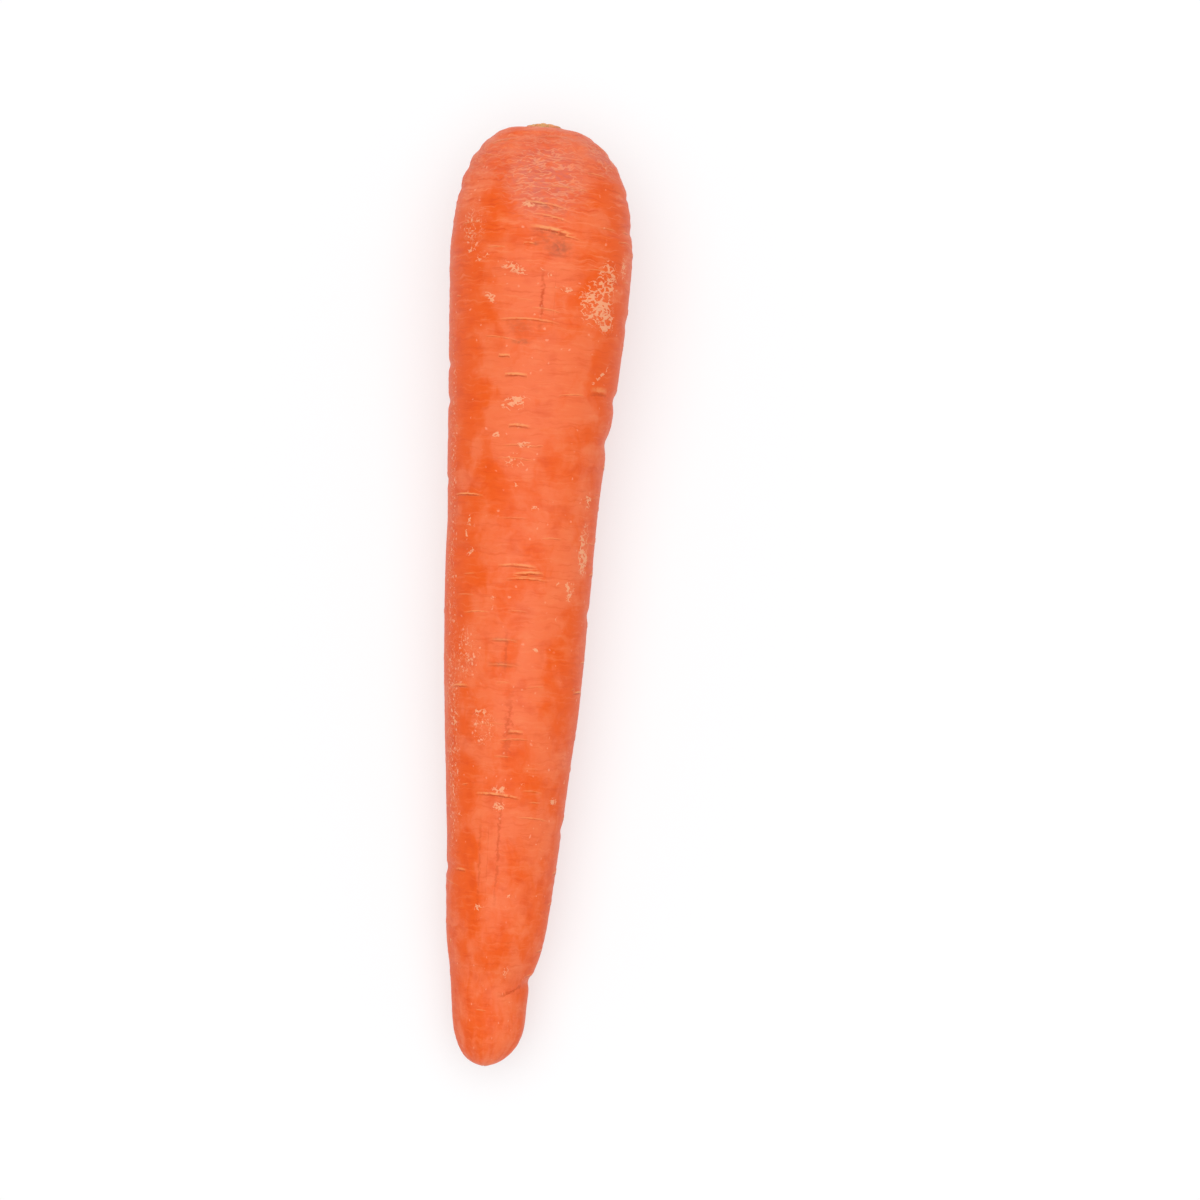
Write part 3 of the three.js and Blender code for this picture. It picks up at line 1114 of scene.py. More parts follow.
def seen_marks() -> list[Mark]:
    """List the marks that show on the upper side, from the crown to the tip.

    Returns:
        The marks, the clear patches first.
    """
    scuff, scar, bruise = MarkKind.SCUFF, MarkKind.SCAR, MarkKind.BRUISE
    specks, streak, ridges, clear = MarkKind.SPECKS, MarkKind.STREAK, MarkKind.RIDGES, MarkKind.CLEAR
    return [
        # The clear patches leave off the pale bloom and its painted sheen, so that the deeper orange of the
        # skin shows.
        Mark(clear, 15, -0.62, 11, 4.5, 0.8),
        Mark(clear, 18, 0.8, 10, 6, 1.0),
        Mark(clear, 36, -0.8, 18, 6, 0.9),
        Mark(clear, 62, -0.8, 20, 7.5, 1.0),
        Mark(clear, 98, -0.88, 28, 6, 1.0),
        Mark(clear, 145, -0.82, 30, 5, 1.0),
        Mark(clear, 55, 0.85, 14, 5, 0.7),
        Mark(clear, 108, 0.75, 14, 6, 0.8),
        Mark(clear, 188, 0, 16, 11, 0.35),
        Mark(ridges, 10.5, 0.02, 10, 10, 1.0),
        Mark(bruise, 16.8, 0.02, 0.6, 4.4, 0.5, -12),
        Mark(scar, 16.2, 0.04, 0.3, 5, 0.7, -8),
        Mark(scar, 18.8, 0.1, 0.3, 4.5, 0.6, -10),
        Mark(scar, 21.5, 0.13, 0.48, 5.4, 1.0, -10),
        Mark(scar, 22.8, 0.28, 0.25, 3, 0.7, -8),
        Mark(scar, 24.6, -0.16, 0.25, 1.5, 0.8),
        Mark(bruise, 24.8, -0.08, 0.5, 0.8, 0.8),
        Mark(bruise, 25.4, 0.18, 2.0, 3.0, 0.9),
        Mark(bruise, 23.4, 0.1, 2.6, 4.2, 0.5, -20),
        Mark(specks, 21.6, -0.8, 5, 3.5, 0.9),
        Mark(scuff, 22.5, -0.84, 2.6, 1.5, 0.35),
        Mark(scuff, 28.2, -0.68, 1, 2, 0.7, 15),
        Mark(scuff, 30.1, -0.33, 1, 3.4, 0.85, -20),
        Mark(scuff, 34.1, 0.27, 0.5, 2.4, 0.75, -18),
        Mark(scuff, 36.7, -0.55, 1, 2, 0.75, -25),
        Mark(scuff, 36.8, 0.63, 4.6, 4.4, 1.0, 20),
        Mark(scuff, 31.5, 0.73, 4, 3, 0.75),
        Mark(scuff, 40.5, 0.76, 2.8, 2.4, 0.85),
        Mark(scuff, 29, 0.9, 3, 1.5, 0.6),
        Mark(scuff, 38.5, 0.03, 1.5, 0.4, 0.6),
        Mark(streak, 36.6, 0.02, 7, 0.42, 1.0),
        Mark(scar, 40.7, -0.12, 0.3, 7, 0.65, -1),
        Mark(bruise, 45.7, -0.18, 0.6, 2.2, 0.7),
        Mark(bruise, 42.5, -0.22, 2, 3, 0.35),
        Mark(scar, 48.7, -0.37, 0.35, 1.8, 0.9),
        Mark(scar, 52.6, -0.22, 0.4, 2.9, 0.95),
        Mark(scuff, 52.3, 0.76, 0.35, 3.6, 0.7, 42),
        Mark(scar, 55, 0.78, 0.8, 3, 0.6),
        Mark(scuff, 58.8, -0.2, 1.5, 2.9, 0.8, 12),
        Mark(scar, 63.4, -0.14, 0.4, 2.6, 0.9),
        Mark(scuff, 67.6, -0.03, 0.6, 1.5, 1.6),
        Mark(scar, 67.6, -0.08, 0.25, 4.5, 0.4),
        Mark(scuff, 71, -0.15, 1.6, 2.8, 0.5),
        Mark(scar, 78.7, -0.76, 0.3, 4.8, 0.9),
        Mark(scuff, 79, 0.83, 2, 1.2, 0.7),
        Mark(scuff, 89.3, 0.84, 5.5, 1.9, 0.8),
        Mark(scuff, 97.3, 0.7, 1.1, 1.8, 0.85),
        Mark(scuff, 99.5, 0.69, 1.1, 0.6, 0.8),
        Mark(scuff, 86, -0.74, 3, 0.5, 0.75, -12),
        Mark(scuff, 91, -0.71, 1, 1.3, 0.75),
        Mark(scar, 93.2, -0.03, 0.35, 4.4, 0.75),
        Mark(scar, 94.7, 0.13, 0.4, 3.4, 0.95, 4),
        Mark(scar, 96, 0.12, 0.3, 4.8, 0.75),
        Mark(bruise, 109.3, -0.17, 0.55, 3.0, 0.6),
        Mark(scar, 109.3, -0.17, 0.3, 3.4, 0.45),
        Mark(bruise, 114.6, -0.17, 0.7, 3.2, 0.6),
        Mark(scar, 114.6, -0.17, 0.3, 3.6, 0.4),
        Mark(streak, 112, -0.13, 5, 0.35, 0.6),
        Mark(specks, 112.5, -0.71, 6, 3.8, 0.95),
        Mark(scar, 119.4, -0.8, 0.35, 3, 0.8, 4),
        Mark(specks, 88, -0.95, 46, 2.2, 0.8),
        Mark(specks, 128, -0.92, 30, 3, 1.0),
        Mark(scuff, 125, -0.48, 0.7, 1.5, 0.8),
        Mark(specks, 128.2, -0.42, 4, 3, 0.9),
        Mark(streak, 128, -0.04, 9, 0.9, 0.7),
        Mark(scar, 128.6, 0.08, 0.4, 2, 0.7),
        Mark(scar, 142.2, -0.15, 0.35, 5.2, 0.95, -3),
        Mark(scuff, 141.2, -0.14, 0.9, 1.5, 0.8),
        Mark(scuff, 144.8, -0.13, 1.1, 1.3, 0.8),
        Mark(scuff, 140, 0.23, 0.7, 1, 0.8, 40),
        Mark(scuff, 143.1, 0.78, 1, 1, 0.8),
        Mark(streak, 153, -0.09, 14, 0.4, 0.7),
        Mark(streak, 152, 0.0, 11, 0.3, 0.5),
        Mark(streak, 158, -0.42, 12, 0.3, 0.5),
        Mark(scar, 158.5, -0.78, 0.35, 2, 0.7),
        Mark(scuff, 166.5, -0.4, 0.8, 1.4, 0.6),
        Mark(scuff, 180, 0.35, 1.6, 0.7, 0.5, 20),
        # Painted shade: this dark streak is the shadow in the crease of the fold near the tip, painted on.
        Mark(streak, 183.8, 0.6, 4, 0.35, 1.0, -68),
    ]


@dataclass
class RuledMarks:
    """The marks that stand by rule: side-root scars in lengthwise rows, and finer marks between them.

    Lengths are in millimetres, angles in radians and turns in degrees. A span is the least and the most of
    what is drawn.
    """

    rows: tuple[float, ...] = (0.14, 3.28, 4.85)
    row_waver: float = 0.12
    first: float = 22
    last: float = 188
    spacing: float = 8.5
    spacing_share: Span = (0.6, 1.5)
    scar_half_round: Span = (1.2, 3.4)
    scar_half_along: Span = (0.25, 0.4)
    scar_strength: Span = (0.6, 1)
    hairlines: int = 130
    hairline_from: float = 4
    hairline_crowding: float = 1.4
    hairline_half_along: float = 0.2
    hairline_half_round: Span = (1, 4.5)
    hairline_strength: Span = (0.25, 0.6)
    hairline_turn: float = 4
    nicks: int = 70
    nick_from: float = 6
    nick_size: Span = (0.3, 0.7)
    nick_stretch: Span = (1, 2.5)
    nick_strength: float = 0.75
    nick_turn: float = 40
    hidden_kinds: tuple[tuple[MarkKind, int, Span], ...] = (
        (MarkKind.SCUFF, 22, (0.8, 2.6)),
        (MarkKind.SPECKS, 7, (3, 9)),
        (MarkKind.CLEAR, 9, (9, 20)),
    )
    hidden_stretch: Span = (0.5, 1.5)
    hidden_strength: Span = (0.6, 0.95)
    hidden_turn: float = 25
    hidden_angle: Span = (-math.pi, -0.1)
    weathered: int = 9
    weathered_waver: float = 0.3
    weathered_size: Span = (4, 7)
    weathered_along: Span = (5, 10)
    weathered_strength: Span = (0.4, 0.8)
    seed: int = 7

    def marks(self) -> list[PlacedMark]:
        """Place the marks.

        Returns:
            Each mark, with its angle round the root.
        """
        draw = np.random.default_rng(self.seed)
        return [
            *self.scars(draw), *self.hair(draw), *self.nicked(draw), *self.hidden(draw),
            *self.weathering(draw),
        ]

    def scars(self, draw: np.random.Generator) -> list[PlacedMark]:
        """Place the scars of the side roots, row by row.

        Args:
            draw: Where the random values come from.

        Returns:
            The scars, with their angles.
        """
        placed = []
        for row in self.rows:
            along = self.first + draw.uniform(0, self.spacing)
            while along < self.last:
                half_round = draw.uniform(*self.scar_half_round)
                half_along = draw.uniform(*self.scar_half_along)
                strength = draw.uniform(*self.scar_strength)
                mark = Mark(MarkKind.SCAR, along, 0, half_along, half_round, strength)
                placed.append((mark, row + draw.normal(0, self.row_waver)))
                along += self.spacing * draw.uniform(*self.spacing_share)
        return placed

    def hair(self, draw: np.random.Generator) -> list[PlacedMark]:
        """Place faint hairlines across the skin, most of them near the crown.

        Args:
            draw: Where the random values come from.

        Returns:
            The hairlines, with their angles.
        """
        placed = []
        for _ in range(self.hairlines):
            share = draw.uniform() ** self.hairline_crowding
            along = self.hairline_from + (self.last - self.hairline_from) * share
            half_round = draw.uniform(*self.hairline_half_round)
            strength = draw.uniform(*self.hairline_strength)
            turn = draw.normal(0, self.hairline_turn)
            mark = Mark(MarkKind.SCAR, along, 0, self.hairline_half_along, half_round, strength, turn)
            placed.append((mark, draw.uniform(-math.pi, math.pi)))
        return placed

    def nicked(self, draw: np.random.Generator) -> list[PlacedMark]:
        """Place tiny nicks of broken skin everywhere.

        Args:
            draw: Where the random values come from.

        Returns:
            The nicks, with their angles.
        """
        placed = []
        for _ in range(self.nicks):
            along = draw.uniform(self.nick_from, self.last)
            size = draw.uniform(*self.nick_size)
            half_round = size * draw.uniform(*self.nick_stretch)
            turn = draw.normal(0, self.nick_turn)
            mark = Mark(MarkKind.SCUFF, along, 0, size, half_round, self.nick_strength, turn)
            placed.append((mark, draw.uniform(-math.pi, math.pi)))
        return placed

    def hidden(self, draw: np.random.Generator) -> list[PlacedMark]:
        """Place scuffs, specks and clear patches on the sides and underneath.

        Args:
            draw: Where the random values come from.

        Returns:
            The marks, with their angles.
        """
        placed = []
        for kind, count, sizes in self.hidden_kinds:
            for _ in range(count):
                size = draw.uniform(*sizes)
                stretch = draw.uniform(*self.hidden_stretch)
                strength = draw.uniform(*self.hidden_strength)
                along = draw.uniform(self.first, self.last)
                turn = draw.normal(0, self.hidden_turn)
                mark = Mark(kind, along, 0, size, size * stretch, strength, turn)
                placed.append((mark, draw.uniform(*self.hidden_angle)))
        return placed

    def weathering(self, draw: np.random.Generator) -> list[PlacedMark]:
        """Place weathered, ridged skin round the crown.

        Args:
            draw: Where the random values come from.

        Returns:
            The weathered patches, with their angles.
        """
        placed = []
        for i in range(self.weathered):
            waver = draw.uniform(-self.weathered_waver, self.weathered_waver)
            size = draw.uniform(*self.weathered_size)
            along = draw.uniform(*self.weathered_along)
            strength = draw.uniform(*self.weathered_strength)
            mark = Mark(MarkKind.RIDGES, along, 0, size, size, strength)
            placed.append((mark, (i + waver) * 2 * math.pi / self.weathered))
        return placed


@dataclass(frozen=True)
class PictureCamera:
    """The camera of the picture: straight above, with the crown up and leaning a little to the right.

    The lens and the sensor are in millimetres, and other lengths in metres.
    """

    lens: float = 100
    sensor: float = 36
    frame_width: float = 253.8 * MM
    drawn_width: float = 255.4 * MM
    outline_height: float = 15 * MM
    lean: float = math.radians(3.59)
    left_of_centre: float = 17.95 * MM
    above_centre: float = 0.6 * MM
    chord_middle_x: float = -1.17 * MM
    sight: float = 50

    @property
    def place(self) -> Vector:
        """Give the place of the camera.

        Returns:
            The place, in metres.
        """
        right = Vector((math.cos(self.lean), math.sin(self.lean), 0))
        upward = Vector((-math.sin(self.lean), math.cos(self.lean), 0))
        middle = Vector((self.chord_middle_x, 0, 0))
        place = middle + right * self.left_of_centre - upward * self.above_centre
        place.z = self.outline_height + self.frame_width * self.lens / self.sensor
        return place

    def shrink(self, height: float) -> float:
        """Give the factor that turns a length drawn flat on the picture into one at a height."""
        nearer = (self.place.z - height) / (self.place.z - self.outline_height)
        return nearer * self.frame_width / self.drawn_width

    def build(self) -> None:
        """Hang the camera so that the root fills the frame as in the picture."""
        data = bpy.data.cameras.new("picture")
        data.lens = self.lens
        data.sensor_width = self.sensor
        data.clip_end = self.sight
        camera = bpy.data.objects.new("picture", data)
        camera.location = self.place
        camera.rotation_euler = (0, 0, self.lean)
        bpy.context.scene.collection.objects.link(camera)
        bpy.context.scene.camera = camera


@dataclass
class CarrotRoot:
    """The root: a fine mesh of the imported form, with its marks as attributes and its skin's relief raised.

    Lengths are in millimetres and angles in radians. What is said of a mark is in its own half-sizes, and
    the deepest groove is a share of the radius.
    """

    node: str = "carrot_root"
    slot: str = "root_skin"
    form: RootForm = field(default_factory=RootForm)
    ruled: RuledMarks = field(default_factory=RuledMarks)
    skin: CarrotSkin = field(default_factory=CarrotSkin)
    camera: PictureCamera = field(default_factory=PictureCamera)
    rows: int = 694
    sides: int = 142
    place_radius: float = 16
    groove_drift: tuple[Wave, ...] = (Wave(2, 1 / 7, 0.5), Wave(5, -1 / 5, 0.3))
    deepest_groove: float = 0.25
    clear_border: tuple[Wave, ...] = (Wave(-7, 0.33, 0.22), Wave(4, 0.8, 0.22))
    mark_core: float = 0.3
    scar_bend: float = 0.08
    scar_width: float = 1.5
    streak_width: float = 5.0
    line_fade: float = 0.4
    far_line: float = 9.0
    most_across: float = 0.99
    crown_wrinkles: Span = (8, 58)
    body_wrinkles: float = 0.35
    stiff_below: Span = (0.14, 0.49)
    firm_below: Span = (0.18, 0.78)
    upward_from: Span = (0.15, 0.75)
    crown_cork_over: float = 3
    tip_cork: Span = (0.4, 1.9)
    sway_size: float = 7
    sway: Size = (1.5, 1.5, 1.2)
    wrinkle_size: Size = (8, 8, 1.3)
    wrinkle_height: float = 0.5
    dent_size: Size = (14, 14, 22)
    dent_depth: float = 0.7
    fray_size: Size = (1.3, 1.3, 1.1)
    scuff_height: float = 0.22
    scar_lift: float = 0.12

    def grid(self) -> SkinGrid:
        """Lay the rings of points on the form, without the two poles.

        Returns:
            The points, in the form's own place.
        """
        form = self.form
        row_radius, row_along = form.profile(self.rows)
        turn = STRAIGHT_DOWN + 2 * np.pi * np.arange(self.sides) / self.sides
        radius, angle = np.meshgrid(row_radius[1:-1], turn, indexing="ij")
        along = np.broadcast_to(row_along[1:-1, None], radius.shape).copy()
        rim_row = int(np.argmin(row_along[: self.rows // 4]))
        outside = (np.arange(1, self.rows - 1) > rim_row)[:, None]
        grown = ease((along - form.rim_distance()) / form.lobes_grow_over)
        drift = sum(wave.at(along, angle) for wave in self.groove_drift)
        pressed = np.minimum(form.groove_depth(along + drift, angle), self.deepest_groove * radius)
        shaped = radius * (1 + grown * form.lobes(along, angle)) - outside * pressed
        points = np.stack((
            form.bow.at(along) + shaped * np.cos(angle),
            form.length / 2 - along,
            np.maximum(form.middle_height(along) + shaped * np.sin(angle), 0),
        ), axis=-1)
        return SkinGrid(along, angle, shaped, points)

    def seen_at(self, mark: Mark, shift: np.ndarray) -> PlacedMark:
        """Find where on the skin the camera sees a mark, which is drawn flat at the outline's height.

        Args:
            mark: The mark, as it is drawn.
            shift: How far the finished root is moved from the form's own place, in metres.

        Returns:
            The mark with its true distance from the crown end, and its angle round the root.
        """
        form = self.form
        eye_x, eye_y, _ = (np.array(self.camera.place) - shift) / MM
        radius = form.outline_radius(mark.along)
        height = form.middle_height(mark.along) + radius * math.sqrt(1 - mark.across**2)
        factor = self.camera.shrink(height * MM)
        drawn_x = form.bow.at(mark.along) + radius * mark.across
        drawn_y = form.length / 2 - mark.along
        along = float(form.length / 2 - eye_y - (drawn_y - eye_y) * factor)
        x = eye_x + (drawn_x - eye_x) * factor
        across = float((x - form.bow.at(along)) / form.outline_radius(along))
        return replace(mark, along=along), math.acos(min(max(across, -self.most_across), self.most_across))

    def painted(self, skin: SkinGrid, shift: np.ndarray) -> dict[Enum, np.ndarray]:
        """Paint every mark on the points of the skin.

        Args:
            skin: The points.
            shift: How far the finished root is moved from the form's own place, in metres.

        Returns:
            How strong each kind of mark is at each point, and how far the point is from the line of a
            scar or a streak.
        """
        painted: dict[Enum, np.ndarray] = {kind: np.zeros_like(skin.along) for kind in MarkKind}
        lines = {MarkKind.SCAR: SkinPlace.SCAR_LINE, MarkKind.STREAK: SkinPlace.STREAK_LINE}
        for name in lines.values():
            painted[name] = np.full_like(skin.along, self.far_line)
        wander = sum(wave.at(skin.along, skin.angle) for wave in self.clear_border)
        marks = [self.seen_at(mark, shift) for mark in seen_marks()] + self.ruled.marks()
        for mark, angle in marks:
            across, upward = self.beside(mark, angle, skin)
            if mark.kind in lines:
                run, line, width = self.line_through(mark, across, upward)
                near = 1 - ease((np.abs(line) - width) / (self.line_fade * width))
                strength = mark.strength * np.clip(1 - run**2, 0, 1) * near
                name = lines[mark.kind]
                painted[name] = np.where(strength > painted[mark.kind], line, painted[name])
            else:
                reach = np.hypot(across, upward / mark.half_along)
                if mark.kind is MarkKind.CLEAR:
                    reach = reach + wander
                strength = mark.strength * (1 - ease(reach - self.mark_core))
            painted[mark.kind] = np.maximum(painted[mark.kind], strength)
        painted[MarkKind.CORK] = self.cork(skin)
        return painted

    @staticmethod
    def beside(mark: Mark, angle: float, skin: SkinGrid) -> tuple[np.ndarray, np.ndarray]:
        """Say where the points of the skin are from the middle of a mark.

        Args:
            mark: The mark.
            angle: Its angle round the root.
            skin: The points.

        Returns:
            How far round the root each point is from the mark, in the mark's half-sizes, and how far
            towards the crown, in millimetres.
        """
        turned = math.radians(mark.turn)
        towards_crown = mark.along - skin.along
        leftward = np.arctan2(np.sin(skin.angle - angle), np.cos(skin.angle - angle)) * skin.radius
        across = (leftward * math.cos(turned) - towards_crown * math.sin(turned)) / mark.half_round
        return across, towards_crown * math.cos(turned) + leftward * math.sin(turned)

    def line_through(
        self, mark: Mark, across: np.ndarray, upward: np.ndarray
    ) -> tuple[np.ndarray, np.ndarray, float]:
        """Place points beside the line of a scar, which runs round the root, or of a streak, along it.

        Args:
            mark: The scar or the streak.
            across: How far round the root the points are from the mark, in its half-sizes.
            upward: How far towards the crown they are from it, in millimetres.

        Returns:
            How far along the line and how far beside it the points are, in half-sizes, and how far beside
            it the mark still counts, which is wide enough for a few points of the grid.
        """
        if mark.kind is MarkKind.STREAK:
            return upward / mark.half_along, across, self.streak_width
        bent = upward + self.scar_bend * mark.half_round * across**2
        return across, bent / mark.half_along, self.scar_width

    def cork(self, skin: SkinGrid) -> np.ndarray:
        """Find the corky skin in the dimple and on its rim, and at the very tip.

        Args:
            skin: The points.

        Returns:
            How corky each point is.
        """
        near_crown = skin.along < self.form.length / 2
        crown = 1 - ease((skin.radius - self.form.dimple_floor_radius) / self.crown_cork_over)
        tip = 1 - rises(skin.radius, self.tip_cork)
        return np.where(near_crown, crown, tip)

    def places(self, skin: SkinGrid) -> dict[Enum, np.ndarray]:
        """Say where the points of the skin lie on it, and what the skin is like there.

        Args:
            skin: The points.

        Returns:
            The place of each point round the skin and along it, in metres, and how wrinkled, how supple
            and how upward the skin is there. It is smooth and stiff under the belly, and most wrinkled
            near the crown.
        """
        around = np.stack((np.cos(skin.angle), np.sin(skin.angle)), axis=-1) * self.place_radius * MM
        near_crown = 1 - rises(skin.along, self.crown_wrinkles)
        from_belly = apart(skin.angle, STRAIGHT_DOWN)
        wrinkled = self.body_wrinkles + (1 - self.body_wrinkles) * near_crown
        return {
            SkinPlace.PLACE: np.concatenate((around, skin.along[..., None] * MM), axis=-1),
            SkinPlace.WRINKLED: wrinkled * rises(from_belly, self.stiff_below),
            SkinPlace.SUPPLE: rises(from_belly, self.firm_below),
            # The upward share paints the sheen on top and a deeper shade on the sides, in the skin's
            # material.
            SkinPlace.UPWARD: rises(np.sin(skin.angle), self.upward_from),
        }

    def relief(self) -> Recipe:
        """Make the geometry nodes that raise the relief of the skin along its normals.

        Returns:
            The nodes, which take the height of each kind of relief.
        """
        recipe = Recipe("skin_relief")
        graph = recipe.graph
        place = recipe.read(SkinPlace.PLACE, "FLOAT_VECTOR")
        wander = graph.warped(place, self.sway_size, self.sway)
        height = graph.noise(wander, self.wrinkle_size, detail=3).centred()
        height = height * recipe.read(SkinPlace.WRINKLED) * recipe.take("Wrinkle Height")
        dent = graph.noise(place, self.dent_size, detail=1).centred()
        height = height + dent * recipe.take("Dent Depth") * recipe.read(SkinPlace.SUPPLE)
        height = height + recipe.read(MarkKind.SCAR) * recipe.take("Scar Lift")
        frayed = graph.noise(place, self.fray_size, detail=3).centred()
        height = height + frayed * recipe.read(MarkKind.SCUFF) * recipe.take("Scuff Height")
        normal = graph.add("GeometryNodeInputNormal")
        settings = {"operation": "SCALE"}
        offset = graph.add("ShaderNodeVectorMath", settings, {"Vector": normal, "Scale": height})
        raised = graph.add(
            "GeometryNodeSetPosition", None, {"Geometry": recipe.geometry, "Offset": offset}
        )
        x, y, z = graph.axes(graph.add("GeometryNodeInputPosition"))
        above = graph.math("MAXIMUM", z, 0.0)
        settled = graph.add("ShaderNodeCombineXYZ", None, {"X": x, "Y": y, "Z": above})
        recipe.finish(graph.add(
            "GeometryNodeSetPosition", None, {"Geometry": raised, "Position": settled}
        ))
        return recipe

    def build(self) -> bpy.types.Object:
        """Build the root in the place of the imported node.

        Returns:
            The finished piece.
        """
        skin = self.grid()
        low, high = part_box(self.node)
        own_low, own_high = skin.points.min(axis=(0, 1)) * MM, skin.points.max(axis=(0, 1)) * MM
        shift = (np.array(low) + np.array(high) - own_low - own_high) / 2
        shift[2] = low[2]
        rings = skin.points * MM + shift
        rings[..., 1] -= self.form.fall(skin.radius, skin.along) * MM
        mesh = ring_mesh(self.node, rings, rings[0].mean(axis=0), rings[-1].mean(axis=0))
        for attribute, values in (self.places(skin) | self.painted(skin, shift)).items():
            write_attribute(mesh, attribute, self.with_poles(values))
        return self.relief().apply(link_piece("root", mesh), {
            "Material": self.skin.material(),
            "Wrinkle Height": self.wrinkle_height * MM,
            "Dent Depth": self.dent_depth * MM,
            "Scar Lift": self.scar_lift * MM,
            "Scuff Height": self.scuff_height * MM,
        })

    @staticmethod
    def with_poles(values: np.ndarray) -> np.ndarray:
        """Flatten values over the rings, with the values of the two poles before and after them.

        Args:
            values: A value or a vector for each point, ring by ring.

        Returns:
            The values in the order of the mesh's points.
        """
        flat = values.reshape(values.shape[0] * values.shape[1], *values.shape[2:])
        first = values[0].mean(axis=0, keepdims=True)
        last = values[-1].mean(axis=0, keepdims=True)
        return np.concatenate((first, flat, last))


@dataclass
class LeafBases:
    """The trimmed leaf bases: a low heart, with crescents set round it in the spiral of the leaves.

    Lengths are in millimetres and angles in radians.
    """

    node: str = "leaf_bases"
    slot: str = "leaf_base_tissue"
    tissue: LeafBaseTissue = field(default_factory=LeafBaseTissue)
    heart_radius: float = 4.5
    heart_height: float = 1.3
    bud_radius: float = 0.9
    crescents: int = 9
    nearest: float = 1.5
    farthest: float = 3.9
    half_thickness: float = 0.48
    reach_nearest: float = 1.1
    reach_farthest: float = 0.62
    lean: float = 0.05
    drop: float = 1.1
    uneven: float = 0.35
    seed: int = 3
    sides: int = 72

    def turned(self, name: str, outline: list[Size]) -> bpy.types.Mesh:
        """Turn an outline round the Z axis, up from a pole at its first point to one at its last.

        Args:
            name: The mesh's name.
            outline: The radius, the height and how much it is a cut face, point by point.

        Returns:
            The mesh, with its cut faces as an attribute.
        """
        radius, height, cut = np.array(outline).T
        turn = -2 * np.pi * np.arange(self.sides) / self.sides
        rings = np.stack((
            radius[1:-1, None] * np.cos(turn),
            radius[1:-1, None] * np.sin(turn),
            np.broadcast_to(height[1:-1, None], (len(radius) - 2, self.sides)),
        ), axis=-1)
        mesh = ring_mesh(name, rings, np.array((0, 0, height[0])), np.array((0, 0, height[-1])))
        inner = np.repeat(cut[1:-1], self.sides)
        write_attribute(mesh, StubPlace.CUT, np.concatenate((cut[:1], inner, cut[-1:])))
        return mesh

    def heart(self, height: float) -> bpy.types.Mesh:
        """Turn the heart with its bud.

        Args:
            height: The height of the bud's top.

        Returns:
            The mesh, upright.
        """
        radius, top = self.heart_radius, self.heart_height
        return self.turned("heart", [
            (0, 0, 0), (radius * 0.8, 0, 0), (radius * 0.92, 0.15, 0), (radius, top * 0.5, 0),
            (radius * 0.94, top * 0.72, 0), (radius * 0.75, top * 0.9, 0), (radius * 0.4, top * 0.96, 0),
            (self.bud_radius * 1.2, top, 0), (self.bud_radius, top * 1.1, 0),
            (self.bud_radius * 0.88, height * 0.8, 0), (self.bud_radius * 0.6, height * 0.95, 0.5),
            (0, height, 1),
        ])

    def stalk(self) -> bpy.types.Mesh:
        """Turn a stalk of unit radius and height, rounded at its trimmed end.

        Returns:
            The mesh, upright.
        """
        return self.turned("stalk", [
            (0, 0, 0), (0.9, 0, 0), (1, 0.05, 0), (1, 0.3, 0), (1, 0.55, 0), (1, 0.8, 0), (0.98, 0.9, 0),
            (0.92, 0.96, 0.1), (0.82, 0.99, 0.8), (0.6, 0.985, 1), (0.3, 0.97, 1), (0, 0.96, 1),
        ])

    def stood(self, recipe: Recipe) -> Wire:
        """Stand all the stalks in the middle, each with the sizes of its crescent as attributes.

        Args:
            recipe: The nodes to add to.

        Returns:
            The stalks.
        """
        graph = recipe.graph
        stalk = recipe.take("Stalk", "NodeSocketObject")
        count = recipe.take("Crescents", "NodeSocketInt")
        number = graph.add("GeometryNodeInputIndex")
        share = number / (count - 1.0)
        points = graph.add("GeometryNodeMeshLine", None, {"Count": count, "Offset": (0.0, 0.0, 0.0)})
        number_output = 1
        lots = {"ID": number, "Seed": self.seed}
        lot = graph.add("FunctionNodeRandomValue", {"data_type": "FLOAT"}, lots, number_output)
        radius = recipe.take("Nearest") * (1 - share) + recipe.take("Farthest") * share
        reach = recipe.take("Reach Nearest") * (1 - share) + recipe.take("Reach Farthest") * share
        tall = recipe.take("Height") - share * recipe.take("Drop") - lot * recipe.take("Uneven")
        for attribute, value in (
            (StubPlace.RADIUS, radius), (StubPlace.REACH, reach), (StubPlace.TALL, tall),
            (StubPlace.TURN, number * recipe.take("Turn")),
        ):
            points = graph.add(
                "GeometryNodeStoreNamedAttribute",
                {"data_type": "FLOAT", "domain": "POINT"},
                {"Geometry": points, "Name": attribute.value, "Value": value},
            )
        shape = graph.add("GeometryNodeObjectInfo", None, {"Object": stalk}, "Geometry")
        stems = graph.add("GeometryNodeInstanceOnPoints", None, {"Points": points, "Instance": shape})
        return graph.add("GeometryNodeRealizeInstances", None, {"Geometry": stems})

    def bent(self, recipe: Recipe, stems: Wire) -> Wire:
        """Bend each stalk round the heart into its crescent.

        Args:
            recipe: The nodes to add to.
            stems: The stalks.

        Returns:
            The crescents.
        """
        graph = recipe.graph
        along, through, up = graph.axes(graph.add("GeometryNodeInputPosition"))
        high = up * recipe.read(StubPlace.TALL)
        spread = high * recipe.take("Lean") + 1
        thickness = through * recipe.take("Half Thickness")
        out = (recipe.read(StubPlace.RADIUS) + thickness) * spread
        angle = recipe.read(StubPlace.TURN) - recipe.read(StubPlace.REACH) * along
        place = graph.add("ShaderNodeCombineXYZ", None, {
            "X": out * graph.math("COSINE", angle),
            "Y": out * graph.math("SINE", angle),
            "Z": high,
        })
        return graph.add("GeometryNodeSetPosition", None, {"Geometry": stems, "Position": place})

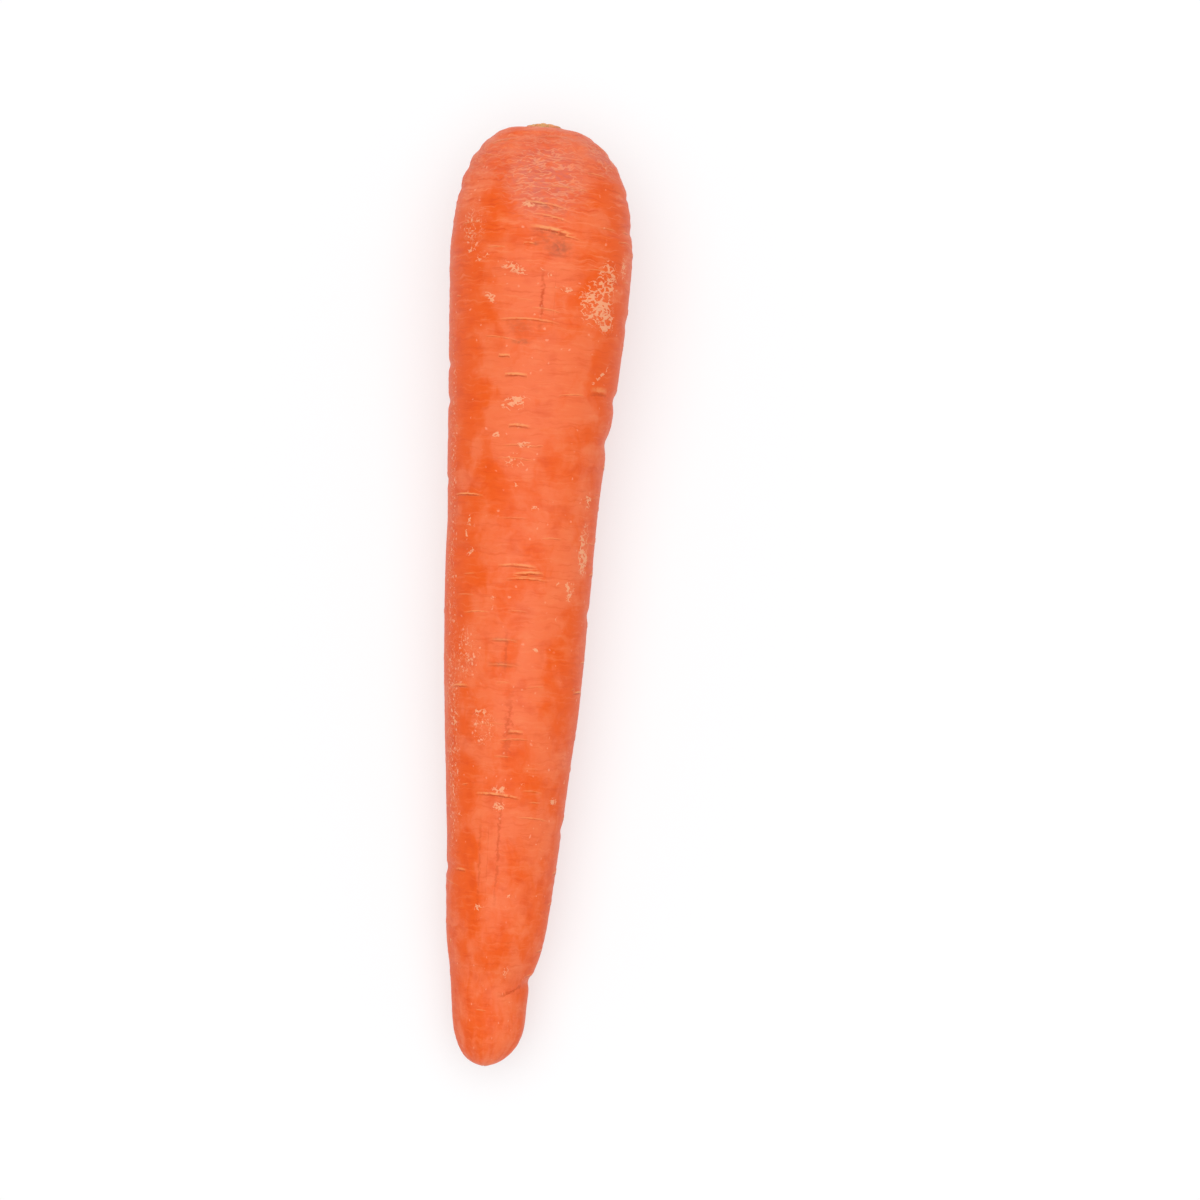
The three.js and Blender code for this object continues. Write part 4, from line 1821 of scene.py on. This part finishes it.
    def spiral(self) -> Recipe:
        """Make the geometry nodes that bend a stalk into each crescent and set them in their spiral.

        Returns:
            The nodes, which take the stalk, the number of crescents and their sizes.
        """
        recipe = Recipe("leaf_spiral")
        crescents = self.bent(recipe, self.stood(recipe))
        joined = recipe.graph.node("GeometryNodeJoinGeometry")
        for part in (recipe.geometry, crescents):
            recipe.tree.links.new(part.socket, joined.inputs["Geometry"])
        recipe.finish(Wire(recipe.graph, joined.outputs["Geometry"]))
        return recipe

    def build(self) -> bpy.types.Object:
        """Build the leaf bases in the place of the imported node.

        Returns:
            The finished piece.
        """
        low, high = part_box(self.node)
        height = (high[1] - low[1]) / MM
        stalk = link_piece("stalk", self.stalk())
        piece = link_piece("leaf_base_stubs", self.heart(height))
        self.spiral().apply(piece, {
            "Material": self.tissue.material(),
            "Stalk": stalk,
            "Crescents": self.crescents,
            "Nearest": self.nearest,
            "Farthest": self.farthest,
            "Reach Nearest": self.reach_nearest,
            "Reach Farthest": self.reach_farthest,
            "Height": height,
            "Drop": self.drop,
            "Uneven": self.uneven,
            "Turn": GOLDEN_ANGLE,
            "Lean": self.lean,
            "Half Thickness": self.half_thickness,
        })
        bpy.data.objects.remove(stalk)
        self.lay_down(piece.data, Vector(low), Vector(high))
        return piece

    def lay_down(self, mesh: bpy.types.Mesh, low: Vector, high: Vector) -> None:
        """Turn the upright stubs to point along +Y, in metres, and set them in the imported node's box.

        Args:
            mesh: The stubs, upright, in millimetres.
            low: The box's lowest corner.
            high: The box's highest corner.
        """
        points = np.empty(len(mesh.vertices) * 3, np.float32)
        mesh.vertices.foreach_get("co", points)
        upright = points.reshape(-1, 3)
        laid = np.stack((upright[:, 0], upright[:, 2], -upright[:, 1]), axis=-1) * MM
        middle = (laid.min(axis=0) + laid.max(axis=0)) / 2
        laid += np.array((low + high) / 2) - middle
        mesh.vertices.foreach_set("co", laid.astype(np.float32).ravel())
        mesh.update()


@dataclass
class Studio:
    """A pale floor under a broad soft light, in a white room that is dimmer above the horizon.

    Lengths are in metres and angles in radians.
    """

    floor_size: float = 60
    horizon: float = 1.0
    even_to: float = 0.04
    upper: float = 0.34
    upper_from: float = 0.4
    overhead_strength: float = 2.6
    overhead_spread: float = math.radians(76)
    overhead_lean: Span = (math.radians(-5), math.radians(-1))

    def build(self) -> None:
        """Lay the floor and set the lights."""
        self.lay_floor()
        self.light_world()
        self.hang_light()

    def lay_floor(self) -> None:
        """Lay a square floor whose edges are out of sight."""
        half = self.floor_size / 2
        corners = [(-half, -half, 0), (half, -half, 0), (half, half, 0), (-half, half, 0)]
        mesh = bpy.data.meshes.new("floor")
        mesh.from_pydata(corners, [], [(0, 1, 2, 3)])
        floor = link_piece("floor", mesh)
        mesh.materials.append(PaleFloor().material())

    def light_world(self) -> None:
        """Fill the room with white light, even up to the horizon and dimmer above it."""
        world = bpy.data.worlds.new("white_room")
        world.use_nodes = True
        graph = Graph(world.node_tree)
        _, _, up = graph.axes(graph.add("ShaderNodeTexCoord", None, None, "Generated"))
        strength = self.horizon - up.rises(self.even_to, self.upper_from) * (self.horizon - self.upper)
        light = graph.add("ShaderNodeBackground", None, {"Color": WHITE, "Strength": strength})
        graph.node("ShaderNodeOutputWorld", None, {"Surface": light})
        bpy.context.scene.world = world

    def hang_light(self) -> None:
        """Hang the broad light far overhead, a little to the left of the carrot and above its crown."""
        data = bpy.data.lights.new("overhead", "SUN")
        data.energy = self.overhead_strength
        data.angle = self.overhead_spread
        light = bpy.data.objects.new("overhead", data)
        light.rotation_euler = (*self.overhead_lean, 0)
        bpy.context.scene.collection.objects.link(light)


def attach(piece: bpy.types.Object, node: str) -> None:
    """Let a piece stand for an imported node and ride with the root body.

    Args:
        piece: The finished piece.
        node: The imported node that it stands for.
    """
    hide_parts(node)
    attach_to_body(piece, "root")
    log.info("%s stands for %s, with %d faces", piece.name, node, len(piece.data.polygons))


def main() -> None:
    """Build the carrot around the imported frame, then the studio and the camera."""
    logging.basicConfig(level=logging.INFO, format="%(name)s: %(message)s")
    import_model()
    PictureCamera().build()
    for assembly in (CarrotRoot(), LeafBases()):
        attach(assembly.build(), assembly.node)
    Studio().build()
    bpy.context.scene.view_settings.view_transform = "Standard"


if __name__ == "__main__":
    main()
